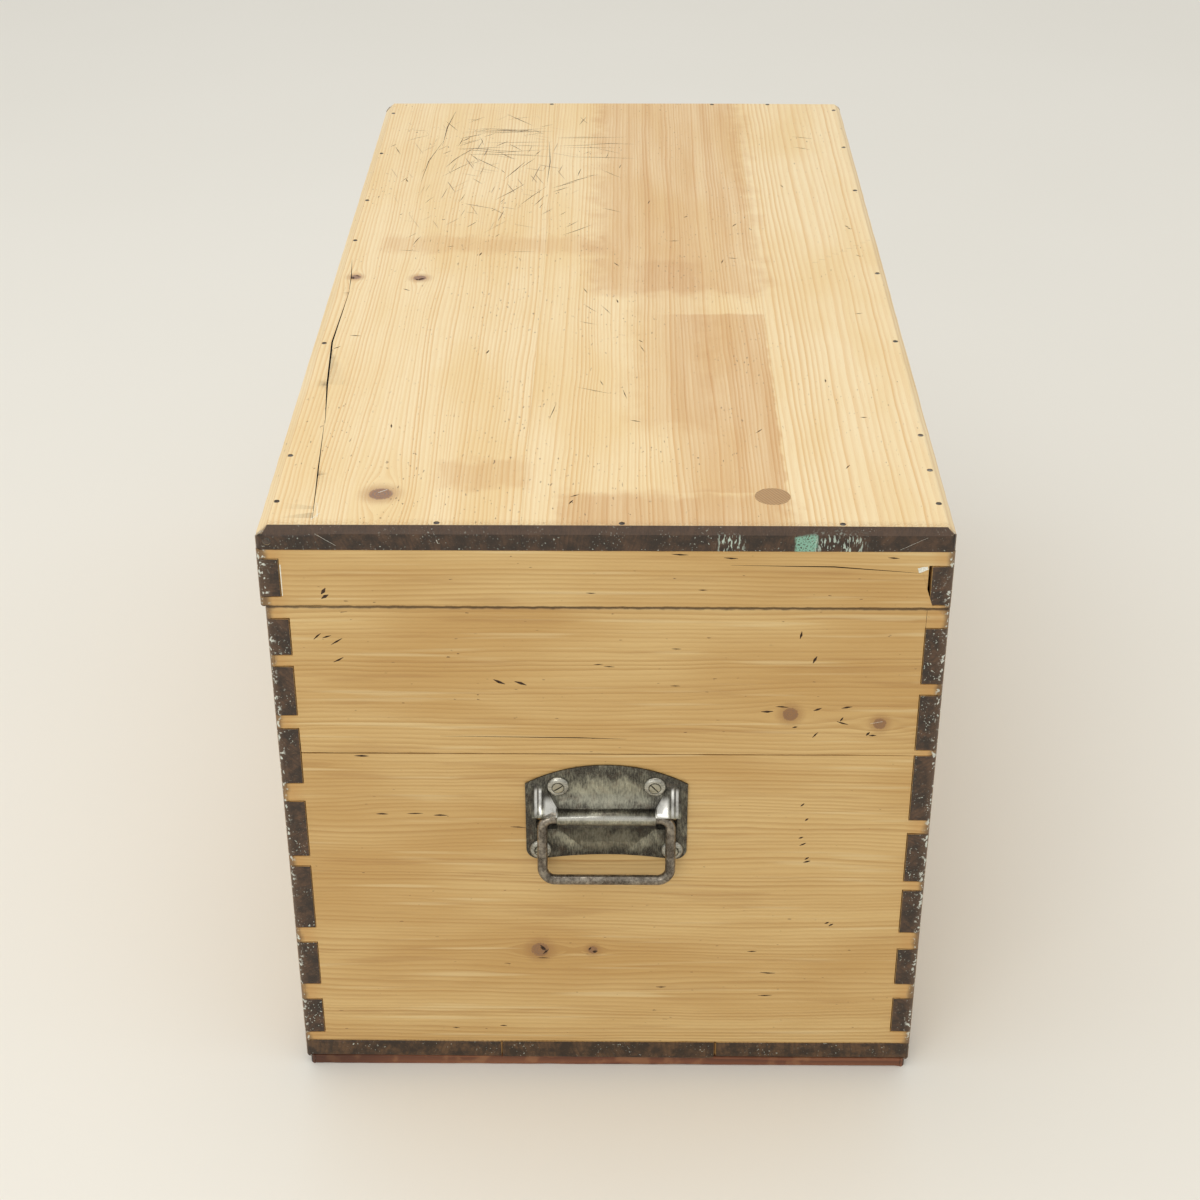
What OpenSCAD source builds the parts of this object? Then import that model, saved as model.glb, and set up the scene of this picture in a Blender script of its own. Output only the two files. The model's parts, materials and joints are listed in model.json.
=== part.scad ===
// A dovetailed pine chest with a boxed lid, two drop handles and two butt hinges.
// X runs along the length, the front faces -Y, the hinges are at +Y and Z points up.
// The origin is on the floor, under the middle of the lid.

/* [Body] */
// Length of the body, over the end walls
body_length = 982; // [860:1:1160]
// Depth of the body, over the front and back walls
body_depth = 497; // [440:1:560]
// Height of the walls
wall_height = 415; // [385:1:450]
// Thickness of the front and back walls
long_wall_t = 17; // [16:0.5:20]
// Thickness of the end walls
end_wall_t = 18; // [16:0.5:20]
// Thickness of the bottom boards
bottom_t = 17; // [14:0.5:20]
// Radius of the worn corners between the walls
corner_r = 4; // [1:0.5:6]

/* [Runners] */
// Height of the runners under the bottom
runner_h = 9; // [6:0.5:14]
// Width of each runner
runner_w = 60; // [40:1:90]
// How far a runner stays back from the walls around it
runner_inset = 3; // [1:0.5:8]

/* [Lid] */
// How far the lid stands out past each end of the body
lid_end_lap = 1; // [0:0.5:4]
// How far the lid stands out past the front of the body
lid_front_lap = 3; // [0:0.5:6]
// Thickness of the lid's top boards
lid_t = 18; // [14:0.5:22]
// Height of the rim under the top boards
rim_h = 47; // [40:0.5:60]
// Thickness of the rim strips
rim_t = 16; // [14:0.5:18]
// Width of the bevel along the front of the top
front_bevel = 9; // [3:0.5:10]
// Width of the bevel along the back of the top
back_bevel = 6; // [3:0.5:10]
// Width of the bevel across the ends of the top
end_bevel = 5; // [3:0.5:8]
// Diameter of the round plug let into the top
plug_d = 26; // [16:1:32]

/* [Dovetails] */
// Sideways spread of a tail for each unit of its length
tail_slope = 0.16; // [0.08:0.01:0.2]
// Gap between a tail and its socket
joint_gap = 0.15; // [0.05:0.05:0.3]
// Extra gap behind the shrunken back tail of the lid's rim
rim_slack = 2; // [0:0.5:3]

/* [Handles] */
// Width of a handle plate
plate_w = 124; // [116:1:130]
// Thickness of a handle plate
plate_t = 1.6; // [1.2:0.1:1.8]
// Diameter of the bail's rod
rod_d = 8; // [7:0.5:8]
// Width of the bail, centre to centre of its legs
bail_w = 98.5; // [94:0.5:102]
// Length of the bail, from its axis to the middle of its grip
bail_drop = 53; // [48:0.5:60]
// Height of the bail's axis above the floor
bail_axis_z = 256; // [220:1:300]
// Angle that a hanging bail leans out, where it rests on the lower screws
bail_lean = 8.5; // [8.5:0.5:12]

/* [Hinges] */
// Distance of each hinge from the middle of the chest
hinge_x = 300; // [200:1:360]
// Length of a hinge
hinge_l = 64; // [60:1:80]
// Thickness of a hinge leaf
leaf_t = 1.8; // [1.5:0.1:2.2]
// Angle at which the toes on the hinges stop the open lid
lid_open_angle = 105; // [95:1:120]

/* [Hidden] */
$fn = 48;
eps = 0.01;
cut = 1;

// Levels, from the floor up
bottom_z = runner_h;
wall_z = bottom_z + bottom_t;
wall_top = wall_z + wall_height;
lid_gap = 0.4;
rim_z = wall_top + lid_gap;
top_z = rim_z + rim_h;
lid_top = top_z + lid_t;

// Outer faces
end_x = body_length / 2;
lid_x = end_x + lid_end_lap;
lid_depth = body_depth + lid_front_lap;
back_y = lid_depth / 2;
front_y = back_y - body_depth;
lid_front_y = -lid_depth / 2;

// Tails, lowest first: height of each one's lower and upper edge above the foot of a wall 415 high
nominal_wall = 415;
wall_scale = wall_height / nominal_wall;
front_tails = wall_scale * [[9, 44], [60, 103], [118, 179], [189, 241], [258, 308], [320, 363], [373, 404]];
back_tails = wall_scale * [[13, 48], [63, 99], [116, 158], [167, 213], [226, 286], [291, 340], [350, 398]];
// The same for the single tail at each end of the lid's rim strips, 47 high
nominal_rim = 47;
rim_scale = rim_h / nominal_rim;
rim_front_tails = rim_scale * [[8, 39]];
rim_back_tails = rim_scale * [[3, 35]];

// Heights at which the two boards of each wall meet
end_joint_z = wall_z + 286 * wall_scale;
front_joint_z = wall_z + 249.5 * wall_scale;
back_joint_z = wall_z + 219.5 * wall_scale;
// Lines at which the bottom boards and the lid's top boards meet
bottom_joints = [-85, 90];
lid_joints = [-60, 135];
plug_depth = 9;
plug_at = [lid_x - 50, lid_joints[1] - plug_d / 2 - 0.4];
lid_corner_r = 6;
runner_end_inset = 1;

// Nails
nail_r = 1.1;
nail_head_r = 2.2;
nail_head_t = 1;
nail_sink = 0.3;
nail_clear = 0.04;
lid_nail_l = 40;
bottom_nail_l = 42;
runner_nail_l = 46;
lid_front_nails = [452, 378, 168, -70, -178, -318, -451];
lid_back_nails = [452, 399, 340, 161, 9, -209, -340, -464];
lid_right_nails = [-120, 12, 169];
lid_left_nails = [-67, 109, 170];
lid_x_scale = lid_x / 492;
bottom_nail_count = 8;
bottom_nail_reach = 0.86;
runner_nails = [-200, -100, 0, 100, 200];
edge_nail_r = 3;
edge_nail_h = 7;
front_nail_inset = 2.5;
nail_inset = 3;

// Handle plate, in its own plane: u runs across, v up from the bail's axis, w out of the wall
handle_y = 1;
plate_shoulder_v = 29.6;
plate_crown_v = 46.8;
plate_lobe_r = 9.5;
plate_lobe_v = -31.6;
plate_foot_v = -36.6;
plate_foot_r = 286;
upper_screw = [36.8, 27.8];
lower_screw = [50.8, -31.6];
axis_w = 5;
barrel_at = [1.6, 4.9];
barrel_r = 6.5;
barrel_half = 38;
hood_r = 7;
hood_end = 57;
hood_clear = 0.5;
slope_top_v = 28;
slope_in_u = 46.6;
slope_low_w = 2.3;
slope_high_w = 11.2;
lip_v = [-10.2, -4];
lip_w = 2.8;
pin_in = 24;
running_gap = 0.06;
washer_r = 8.5;
washer_h = 2.7;
washer_bore_r = 2.8;
washer_seat_h = 0.9;
washer_edge_h = 0.7;
washer_bend = [0.9, 2];
washer_rim = 2.3;
washer_head_gap = 0.2;
screw_head_r = 4.8;
screw_shank_r = 2.2;
screw_l = 15;
screw_slot_w = 1.1;
screw_slot_depth = 0.9;
screw_tip_l = 3;
screw_neck_h = 0.75;
screw_dome = [0.1, 0.5, 0.8];
screw_turns = [35, -48, 12, 70];
screw_hole_clear = 0.6;
rod_r = rod_d / 2;
pin_bend = 8;
grip_bend = 10;

// Hinges
barrel_stand = 4.4;
hinge_r = 4;
hinge_pin_r = 2.2;
hinge_axis_y = back_y + barrel_stand;
hinge_axis_z = wall_top + lid_gap / 2;
leaf_in = 15;
knuckles = 5;
knuckle_gap = 0.3;
toe_l = 5;
toe_t = 2.2;
toe_clear = 0.3;
leaf_screw_r = 1.5;
leaf_head_r = 3.2;
leaf_screw_l = 16;
leaf_screw_y = back_y - 7.5;
leaf_screw_spread = hinge_l / 2 - 10;

// ---- Shared shapes ----

module block(from, to) {
    translate(from) cube(to - from);
}

// A prism on an outline drawn in X and Z, reaching from y0 to y1
module along_y(y0, y1) {
    translate([0, y1, 0]) rotate([90, 0, 0]) linear_extrude(y1 - y0) children();
}

// A prism on an outline drawn in Y and Z, reaching from x0 to x1
module along_x(x0, x1) {
    translate([x0, 0, 0]) rotate([90, 0, 90]) linear_extrude(x1 - x0) children();
}

// A rectangle with round corners
module round_rectangle(from, to, r) {
    translate([from.x + r, from.y]) square([to.x - from.x - 2 * r, to.y - from.y]);
    translate([from.x, from.y + r]) square([to.x - from.x, to.y - from.y - 2 * r]);
    for (x = [from.x + r, to.x - r], y = [from.y + r, to.y - r]) translate([x, y]) circle(r);
}

// The two mirror-image ends of the chest
module both_ends() {
    children();
    mirror([1, 0, 0]) children();
}

// A nail that points down from its head
module nail(length, extra = 0) {
    r = nail_r + extra;
    head = nail_head_r + extra;
    translate([0, 0, -length]) cylinder(r = r, h = length);
    translate([0, 0, -nail_head_t]) cylinder(r = head, h = nail_head_t + (extra > 0 ? cut : 0));
}

// ---- Dovetails ----

// Outline of one tail with its root on the line x = root, and its end beyond x = tip
module tail_outline(edges, root, tip, z0, gap) {
    spread = tail_slope * (tip - root + cut);
    narrow = tail_slope * (tip - root);
    polygon([
        [root - gap, z0 + edges[0] + narrow + tail_slope * gap - gap],
        [tip + cut, z0 + edges[0] + narrow - spread - gap],
        [tip + cut, z0 + edges[1] - narrow + spread + gap],
        [root - gap, z0 + edges[1] - narrow - tail_slope * gap + gap]
    ]);
}

// Material of a long board between the end boards, with its tails at both ends
module tailed_wall(tails, root, tip, z0, z1, y0, y1) {
    along_y(y0, y1) {
        translate([-root, z0]) square([2 * root, z1 - z0]);
        intersection() {
            translate([-tip, z0]) square([2 * tip, z1 - z0]);
            for (side = [0, 1]) mirror([side, 0]) for (t = tails) tail_outline(t, root, tip, z0, 0);
        }
    }
}

// The sockets that tails leave in an end board
module tail_sockets(tails, root, tip, z0, y0, y1) {
    along_y(y0, y1) for (t = tails) tail_outline(t, root, tip, z0, joint_gap);
}

// ---- Body walls ----

module body_outline() {
    translate([0, 0, wall_z]) linear_extrude(wall_height)
        round_rectangle([-end_x, front_y], [end_x, back_y], corner_r);
}

module between_heights(z0, z1) {
    intersection() {
        children();
        block([-2 * end_x, -2 * back_y, z0], [2 * end_x, 2 * back_y, z1]);
    }
}

module front_wall() {
    difference() {
        intersection() {
            tailed_wall(front_tails, end_x - end_wall_t, end_x, wall_z, wall_top,
                front_y, front_y + long_wall_t);
            body_outline();
        }
        bottom_nail_set(nail_clear);
    }
}

module back_wall() {
    difference() {
        intersection() {
            tailed_wall(back_tails, end_x - end_wall_t, end_x, wall_z, wall_top,
                back_y - long_wall_t, back_y);
            body_outline();
        }
        bottom_nail_set(nail_clear);
        for (side = [-1, 1]) translate([side * hinge_x, 0, 0]) {
            leaf_mortise(-1);
            leaf_screws(-1, nail_clear);
        }
    }
}

module right_end_wall() {
    root = end_x - end_wall_t;
    difference() {
        intersection() {
            block([root, front_y, wall_z], [end_x, back_y, wall_top]);
            body_outline();
        }
        tail_sockets(front_tails, root, end_x, wall_z, front_y - cut, front_y + long_wall_t);
        tail_sockets(back_tails, root, end_x, wall_z, back_y - long_wall_t, back_y + cut);
        runner_nail_set(nail_clear);
        handle_screw_set(nail_clear);
    }
}

module front_lower_board() {
    color("#d8b06c") between_heights(wall_z, front_joint_z) front_wall();
}

module front_upper_board() {
    color("#d8b06c") between_heights(front_joint_z, wall_top) front_wall();
}

module back_lower_board() {
    color("#d3a965") between_heights(wall_z, back_joint_z) back_wall();
}

module back_upper_board() {
    color("#d3a965") between_heights(back_joint_z, wall_top) back_wall();
}

module right_end_lower_board() {
    color("#dcb673") between_heights(wall_z, end_joint_z) right_end_wall();
}

module right_end_upper_board() {
    color("#dcb673") between_heights(end_joint_z, wall_top) right_end_wall();
}

module left_end_lower_board() {
    color("#dcb673") mirror([1, 0, 0]) between_heights(wall_z, end_joint_z) right_end_wall();
}

module left_end_upper_board() {
    color("#dcb673") mirror([1, 0, 0]) between_heights(end_joint_z, wall_top) right_end_wall();
}

// ---- Bottom ----

module bottom_board(y0, y1) {
    color("#7a5a3c") difference() {
        intersection() {
            block([-end_x, y0, bottom_z], [end_x, y1, wall_z]);
            translate([0, 0, bottom_z]) linear_extrude(bottom_t)
                round_rectangle([-end_x, front_y], [end_x, back_y], corner_r);
        }
        bottom_nail_set(nail_clear);
        runner_nail_set(nail_clear);
        mirror([1, 0, 0]) runner_nail_set(nail_clear);
    }
}

module bottom_board_front() {
    bottom_board(front_y, bottom_joints[0]);
}

module bottom_board_middle() {
    bottom_board(bottom_joints[0], bottom_joints[1]);
}

module bottom_board_back() {
    bottom_board(bottom_joints[1], back_y);
}

module right_runner() {
    color("#8a5236") difference() {
        linear_extrude(runner_h) round_rectangle(
            [end_x - runner_w, front_y + runner_inset],
            [end_x - runner_end_inset, back_y - runner_inset],
            corner_r
        );
        runner_nail_set(nail_clear);
    }
}

module left_runner() {
    mirror([1, 0, 0]) right_runner();
}

// Nails driven up through the bottom boards into the front and back walls
module bottom_nail_set(extra = 0) {
    reach = end_x * bottom_nail_reach;
    step = 2 * reach / (bottom_nail_count - 1);
    for (y = [front_y + long_wall_t / 2, back_y - long_wall_t / 2], i = [0:bottom_nail_count - 1])
        translate([-reach + i * step, y, bottom_z + nail_sink]) mirror([0, 0, 1]) nail(bottom_nail_l, extra);
}

// Nails driven up through the right-hand runner and the bottom into the end wall
module runner_nail_set(extra = 0) {
    for (y = runner_nails)
        translate([end_x - end_wall_t / 2, y, nail_sink]) mirror([0, 0, 1]) nail(runner_nail_l, extra);
}

module bottom_nails() {
    color("#3a3632") bottom_nail_set();
}

module runner_nails() {
    color("#3a3632") both_ends() runner_nail_set();
}

// ---- Lid ----

module lid_shape() {
    intersection() {
        along_x(-lid_x, lid_x) polygon([
            [lid_front_y, top_z],
            [back_y, top_z],
            [back_y, lid_top - back_bevel],
            [back_y - back_bevel, lid_top],
            [lid_front_y + front_bevel, lid_top],
            [lid_front_y, lid_top - front_bevel]
        ]);
        along_y(lid_front_y, back_y) polygon([
            [-lid_x, top_z],
            [lid_x, top_z],
            [lid_x, lid_top - end_bevel],
            [lid_x - end_bevel, lid_top],
            [end_bevel - lid_x, lid_top],
            [-lid_x, lid_top - end_bevel]
        ]);
        translate([0, 0, top_z]) linear_extrude(lid_t)
            round_rectangle([-lid_x, lid_front_y], [lid_x, back_y], lid_corner_r);
    }
}

module lid_board(y0, y1) {
    color("#ecc88f") difference() {
        intersection() {
            lid_shape();
            block([-lid_x, y0, top_z], [lid_x, y1, lid_top]);
        }
        lid_nail_set(nail_clear);
        translate([plug_at.x, plug_at.y, lid_top - plug_depth])
            cylinder(d = plug_d + 2 * nail_clear, h = plug_depth + cut);
    }
}

module lid_board_front() {
    lid_board(lid_front_y, lid_joints[0]);
}

module lid_board_middle() {
    lid_board(lid_joints[0], lid_joints[1]);
}

module lid_board_back() {
    lid_board(lid_joints[1], back_y);
}

module lid_plug() {
    color("#c59a66") translate([plug_at.x, plug_at.y, lid_top - plug_depth])
        cylinder(d = plug_d, h = plug_depth);
}

module rim_outline() {
    translate([0, 0, rim_z]) linear_extrude(rim_h)
        round_rectangle([-lid_x, lid_front_y], [lid_x, back_y], corner_r);
}

module lid_rim_front() {
    color("#d8b06c") difference() {
        intersection() {
            tailed_wall(rim_front_tails, lid_x - rim_t, lid_x, rim_z, top_z,
                lid_front_y, lid_front_y + rim_t);
            rim_outline();
        }
        lid_nail_set(nail_clear);
    }
}

module lid_rim_back() {
    color("#d3a965") difference() {
        intersection() {
            tailed_wall(rim_back_tails, lid_x - rim_t, lid_x, rim_z, top_z,
                back_y - rim_t, back_y);
            rim_outline();
        }
        lid_nail_set(nail_clear);
        for (side = [-1, 1]) translate([side * hinge_x, 0, 0]) {
            leaf_mortise(1);
            leaf_screws(1, nail_clear);
        }
    }
}

module rim_end() {
    root = lid_x - rim_t;
    color("#dcb673") difference() {
        intersection() {
            block([root, lid_front_y, rim_z], [lid_x, back_y, top_z]);
            rim_outline();
        }
        tail_sockets(rim_front_tails, root, lid_x, rim_z, lid_front_y - cut, lid_front_y + rim_t);
        tail_sockets(rim_back_tails, root, lid_x, rim_z, back_y - rim_t - rim_slack, back_y + cut);
        children();
    }
}

module lid_rim_right() {
    rim_end() lid_nail_set(nail_clear);
}

module lid_rim_left() {
    mirror([1, 0, 0]) rim_end() mirror([1, 0, 0]) lid_nail_set(nail_clear);
}

// Nails driven down through the top boards into the rim strips, and one into the end of the front board
module lid_nail_set(extra = 0) {
    z = lid_top - nail_sink;
    front = lid_front_y + front_bevel + front_nail_inset;
    back = back_y - back_bevel - nail_inset;
    for (x = lid_front_nails) translate([x * lid_x_scale, front, z]) nail(lid_nail_l, extra);
    for (x = lid_back_nails) translate([x * lid_x_scale, back, z]) nail(lid_nail_l, extra);
    for (y = lid_right_nails) translate([lid_x - end_bevel - nail_inset, y, z]) nail(lid_nail_l, extra);
    for (y = lid_left_nails) translate([end_bevel + nail_inset - lid_x, y, z]) nail(lid_nail_l, extra);
    translate([lid_x - nail_sink, lid_front_y + front_bevel, top_z + edge_nail_h]) rotate([0, 90, 0]) {
        translate([0, 0, -edge_nail_r])
            cylinder(r = edge_nail_r + extra, h = edge_nail_r + (extra > 0 ? cut : 0));
        translate([0, 0, -lid_nail_l]) cylinder(r = nail_r + extra, h = lid_nail_l);
    }
}

module lid_nails() {
    color("#45403a") lid_nail_set();
}

// ---- Handles ----

// Places a shape drawn in the handle's u, v and w on the right-hand end of the chest
module on_right_end() {
    translate([end_x, handle_y, bail_axis_z]) rotate([90, 0, 90]) children();
}

module left_twin() {
    translate([0, 2 * handle_y, 0]) rotate([0, 0, 180]) children();
}

module plate_outline() {
    half = plate_w / 2;
    rise = plate_crown_v - plate_shoulder_v;
    crown_r = (half * half + rise * rise) / (2 * rise);
    difference() {
        union() {
            intersection() {
                translate([-half, plate_lobe_v]) square([plate_w, plate_crown_v - plate_lobe_v]);
                translate([0, plate_crown_v - crown_r]) circle(crown_r, $fn = 180);
            }
            translate([plate_lobe_r - half, plate_lobe_v - plate_lobe_r])
                square([plate_w - 2 * plate_lobe_r, plate_lobe_r + cut]);
            for (side = [-1, 1]) translate([side * (half - plate_lobe_r), plate_lobe_v]) circle(plate_lobe_r);
        }
        translate([0, plate_foot_v - plate_foot_r]) circle(plate_foot_r, $fn = 180);
        for (at = screw_places()) translate(at) circle(screw_shank_r + screw_hole_clear);
    }
}

function screw_places() = [
    [-upper_screw.x, upper_screw.y], [upper_screw.x, upper_screw.y],
    [-lower_screw.x, lower_screw.y], [lower_screw.x, lower_screw.y]
];

// A pressed bar along u: round in front, on straight flanks that end flush with the wall
module pressed_bar(r, u0, u1) {
    along_x(u0, u1) {
        intersection() {
            translate(barrel_at) circle(r);
            translate([barrel_at.x - r, 0]) square(2 * r);
        }
        translate([barrel_at.x - r, 0]) square([2 * r, barrel_at.y]);
    }
}

// The pressed end of the hood: over the bail's leg, then sloping down to the height of the upper screws
module hood() {
    low_v = rod_r + hood_clear;
    intersection() {
        pressed_bar(hood_r, barrel_half - cut, hood_end);
        block([0, low_v, 0], [hood_end, 2 * hood_r, 2 * hood_r]);
    }
    intersection() {
        along_x(barrel_half, hood_end) polygon([
            [low_v, 0],
            [slope_top_v, 0],
            [slope_top_v, slope_low_w],
            [low_v, slope_high_w]
        ]);
        linear_extrude(2 * hood_r) polygon([
            [barrel_half, 0],
            [hood_end, 0],
            [hood_end, slope_top_v],
            [slope_in_u, slope_top_v],
            [barrel_half, barrel_at.x + hood_r]
        ]);
    }
}

module handle_plate() {
    slot_v = rod_r + hood_clear;
    slot_end = bail_w / 2 + slot_v;
    slot_top = 2 * hood_r;
    color("#6d6a66") difference() {
        union() {
            linear_extrude(plate_t) plate_outline();
            pressed_bar(barrel_r, -barrel_half, barrel_half);
            block([-barrel_half, lip_v[0], 0], [barrel_half, lip_v[1], lip_w]);
            for (side = [0, 1]) mirror([side, 0, 0]) hood();
        }
        for (side = [0, 1]) mirror([side, 0, 0]) {
            translate([pin_in - 1, 0, axis_w]) rotate([0, 90, 0])
                cylinder(r = rod_r + running_gap, h = barrel_half - pin_in + 1 + cut);
            block([barrel_half, -slot_v, -cut], [slot_end, slot_v, slot_top]);
            block([barrel_half, -slot_v - pin_bend, plate_t / 2], [slot_end, 0, slot_top]);
        }
    }
}

// One half of the bail, hanging straight down from its axis
module half_bail() {
    leg = bail_w / 2;
    bend_u = leg - pin_bend;
    grip_u = leg - grip_bend;
    translate([pin_in, 0, 0]) rotate([0, 90, 0]) cylinder(r = rod_r, h = bend_u - pin_in);
    translate([bend_u, -pin_bend, 0]) rotate_extrude(angle = 90) translate([pin_bend, 0]) circle(rod_r);
    translate([leg, grip_bend - bail_drop, 0]) rotate([-90, 0, 0])
        cylinder(r = rod_r, h = bail_drop - grip_bend - pin_bend);
    translate([grip_u, grip_bend - bail_drop, 0]) rotate([0, 0, -90])
        rotate_extrude(angle = 90) translate([grip_bend, 0]) circle(rod_r);
    translate([0, -bail_drop, 0]) rotate([0, 90, 0]) cylinder(r = rod_r, h = grip_u);
}

module bail() {
    color("#5b5049") translate([0, 0, axis_w]) rotate([-bail_lean, 0, 0]) {
        half_bail();
        mirror([1, 0, 0]) half_bail();
    }
}

module cup_washer() {
    rotate_extrude() polygon([
        [washer_bore_r, 0],
        [washer_r, 0],
        [washer_r, washer_edge_h],
        [washer_r - washer_bend[0], washer_bend[1]],
        [washer_r - washer_rim, washer_h],
        [screw_head_r + washer_head_gap, washer_h],
        [washer_bore_r, washer_seat_h]
    ]);
}

// A slotted screw with its head standing a little out of a cup washer
module cup_screw(turn) {
    top = washer_h + screw_dome[2];
    difference() {
        rotate_extrude() polygon([
            [0, -screw_l],
            [screw_shank_r, screw_tip_l - screw_l],
            [screw_shank_r, screw_neck_h],
            [screw_head_r, washer_h + screw_dome[0]],
            [screw_head_r - 1, washer_h + screw_dome[1]],
            [0, top]
        ]);
        rotate([0, 0, turn]) translate([-screw_head_r - cut, -screw_slot_w / 2, top - screw_slot_depth])
            cube([2 * (screw_head_r + cut), screw_slot_w, screw_slot_depth + cut]);
    }
}

module cup_washers() {
    color("#b5b0a6") for (at = screw_places()) translate([at.x, at.y, plate_t]) cup_washer();
}

module handle_screws() {
    places = screw_places();
    color("#8d8981") for (i = [0:len(places) - 1])
        translate([places[i].x, places[i].y, plate_t]) cup_screw(screw_turns[i]);
}

// The bores that the handle's screws leave in the right-hand end wall
module handle_screw_set(extra) {
    on_right_end() for (at = screw_places()) translate([at.x, at.y, plate_t - screw_l])
        cylinder(r = screw_shank_r + extra, h = screw_l + cut);
}

module right_handle_plate() {
    on_right_end() handle_plate();
}

module right_bail() {
    on_right_end() bail();
}

module right_cup_washers() {
    on_right_end() cup_washers();
}

module right_handle_screws() {
    on_right_end() handle_screws();
}

module left_handle_plate() {
    left_twin() right_handle_plate();
}

module left_bail() {
    left_twin() right_bail();
}

module left_cup_washers() {
    left_twin() right_cup_washers();
}

module left_handle_screws() {
    left_twin() right_handle_screws();
}

// ---- Hinges ----

// Each hinge is drawn about X = 0. level is -1 for the leaf on the body and 1 for the leaf on the lid
function leaf_z(level) = level < 0 ? wall_top - leaf_t : rim_z;

module leaf_mortise(level) {
    z = leaf_z(level);
    block([-hinge_l / 2, back_y - leaf_in, level < 0 ? z : z - cut],
        [hinge_l / 2, back_y + cut, level < 0 ? z + leaf_t + cut : z + leaf_t]);
}

// Screws through a leaf: each head is flush with the leaf's open face
module leaf_screws(level, extra = 0) {
    face = level < 0 ? wall_top : rim_z;
    for (x = [-leaf_screw_spread, 0, leaf_screw_spread])
        translate([x, leaf_screw_y, face]) mirror([0, 0, level < 0 ? 0 : 1]) rotate_extrude() polygon([
            [0, -leaf_screw_l],
            [leaf_screw_r + extra, -leaf_screw_l],
            [leaf_screw_r + extra, -leaf_t],
            [leaf_head_r + extra, 0],
            [0, 0]
        ]);
}

// The toe of a lid knuckle: its flat lands on the back wall when the lid is open
module toe_outline() {
    flat = barrel_stand - toe_clear;
    rotate(180 + lid_open_angle) polygon([
        [0, 0],
        [flat, 0],
        [flat, toe_l],
        [flat - toe_t, toe_l],
        [0, toe_t]
    ]);
}

module hinge_leaf(level) {
    step = hinge_l / knuckles;
    z = leaf_z(level);
    first = level < 0 ? 0 : 1;
    difference() {
        union() {
            block([-hinge_l / 2, back_y - leaf_in, z], [hinge_l / 2, back_y - eps, z + leaf_t]);
            for (i = [first:2:knuckles - 1]) {
                x0 = -hinge_l / 2 + i * step + (i == 0 ? 0 : knuckle_gap / 2);
                x1 = -hinge_l / 2 + (i + 1) * step - (i == knuckles - 1 ? 0 : knuckle_gap / 2);
                block([x0, back_y - 2 * eps, z], [x1, hinge_axis_y, z + leaf_t]);
                translate([0, hinge_axis_y, hinge_axis_z]) along_x(x0, x1) {
                    circle(hinge_r);
                    if (level > 0) toe_outline();
                }
            }
        }
        along_x(-hinge_l, hinge_l) translate([hinge_axis_y, hinge_axis_z])
            circle(hinge_pin_r + (level < 0 ? 0 : running_gap));
        leaf_screws(level, running_gap);
    }
}

module hinge_pin() {
    along_x(-hinge_l / 2, hinge_l / 2) translate([hinge_axis_y, hinge_axis_z]) circle(hinge_pin_r);
}

module right_hinge_body_leaf() {
    color("#5f5a52") translate([hinge_x, 0, 0]) hinge_leaf(-1);
}

module right_hinge_lid_leaf() {
    color("#5f5a52") translate([hinge_x, 0, 0]) hinge_leaf(1);
}

module right_hinge_pin() {
    color("#8a857a") translate([hinge_x, 0, 0]) hinge_pin();
}

module left_hinge_body_leaf() {
    color("#5f5a52") translate([-hinge_x, 0, 0]) hinge_leaf(-1);
}

module left_hinge_lid_leaf() {
    color("#5f5a52") translate([-hinge_x, 0, 0]) hinge_leaf(1);
}

module left_hinge_pin() {
    color("#8a857a") translate([-hinge_x, 0, 0]) hinge_pin();
}

module hinge_body_screws() {
    color("#8a857a") for (side = [-1, 1]) translate([side * hinge_x, 0, 0]) leaf_screws(-1);
}

module hinge_lid_screws() {
    color("#8a857a") for (side = [-1, 1]) translate([side * hinge_x, 0, 0]) leaf_screws(1);
}

front_lower_board();
front_upper_board();
back_lower_board();
back_upper_board();
right_end_lower_board();
right_end_upper_board();
left_end_lower_board();
left_end_upper_board();
bottom_board_front();
bottom_board_middle();
bottom_board_back();
right_runner();
left_runner();
bottom_nails();
runner_nails();
lid_board_front();
lid_board_middle();
lid_board_back();
lid_plug();
lid_rim_front();
lid_rim_back();
lid_rim_right();
lid_rim_left();
lid_nails();
right_handle_plate();
right_bail();
right_cup_washers();
right_handle_screws();
left_handle_plate();
left_bail();
left_cup_washers();
left_handle_screws();
right_hinge_body_leaf();
right_hinge_lid_leaf();
right_hinge_pin();
left_hinge_body_leaf();
left_hinge_lid_leaf();
left_hinge_pin();
hinge_body_screws();
hinge_lid_screws();
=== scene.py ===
"""The looks of a dovetailed pine chest: worn boards, pressed steel handles, hinges, nails and old paint."""

import json
import math
import random

import bpy
from mathutils import Matrix, Vector


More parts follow.
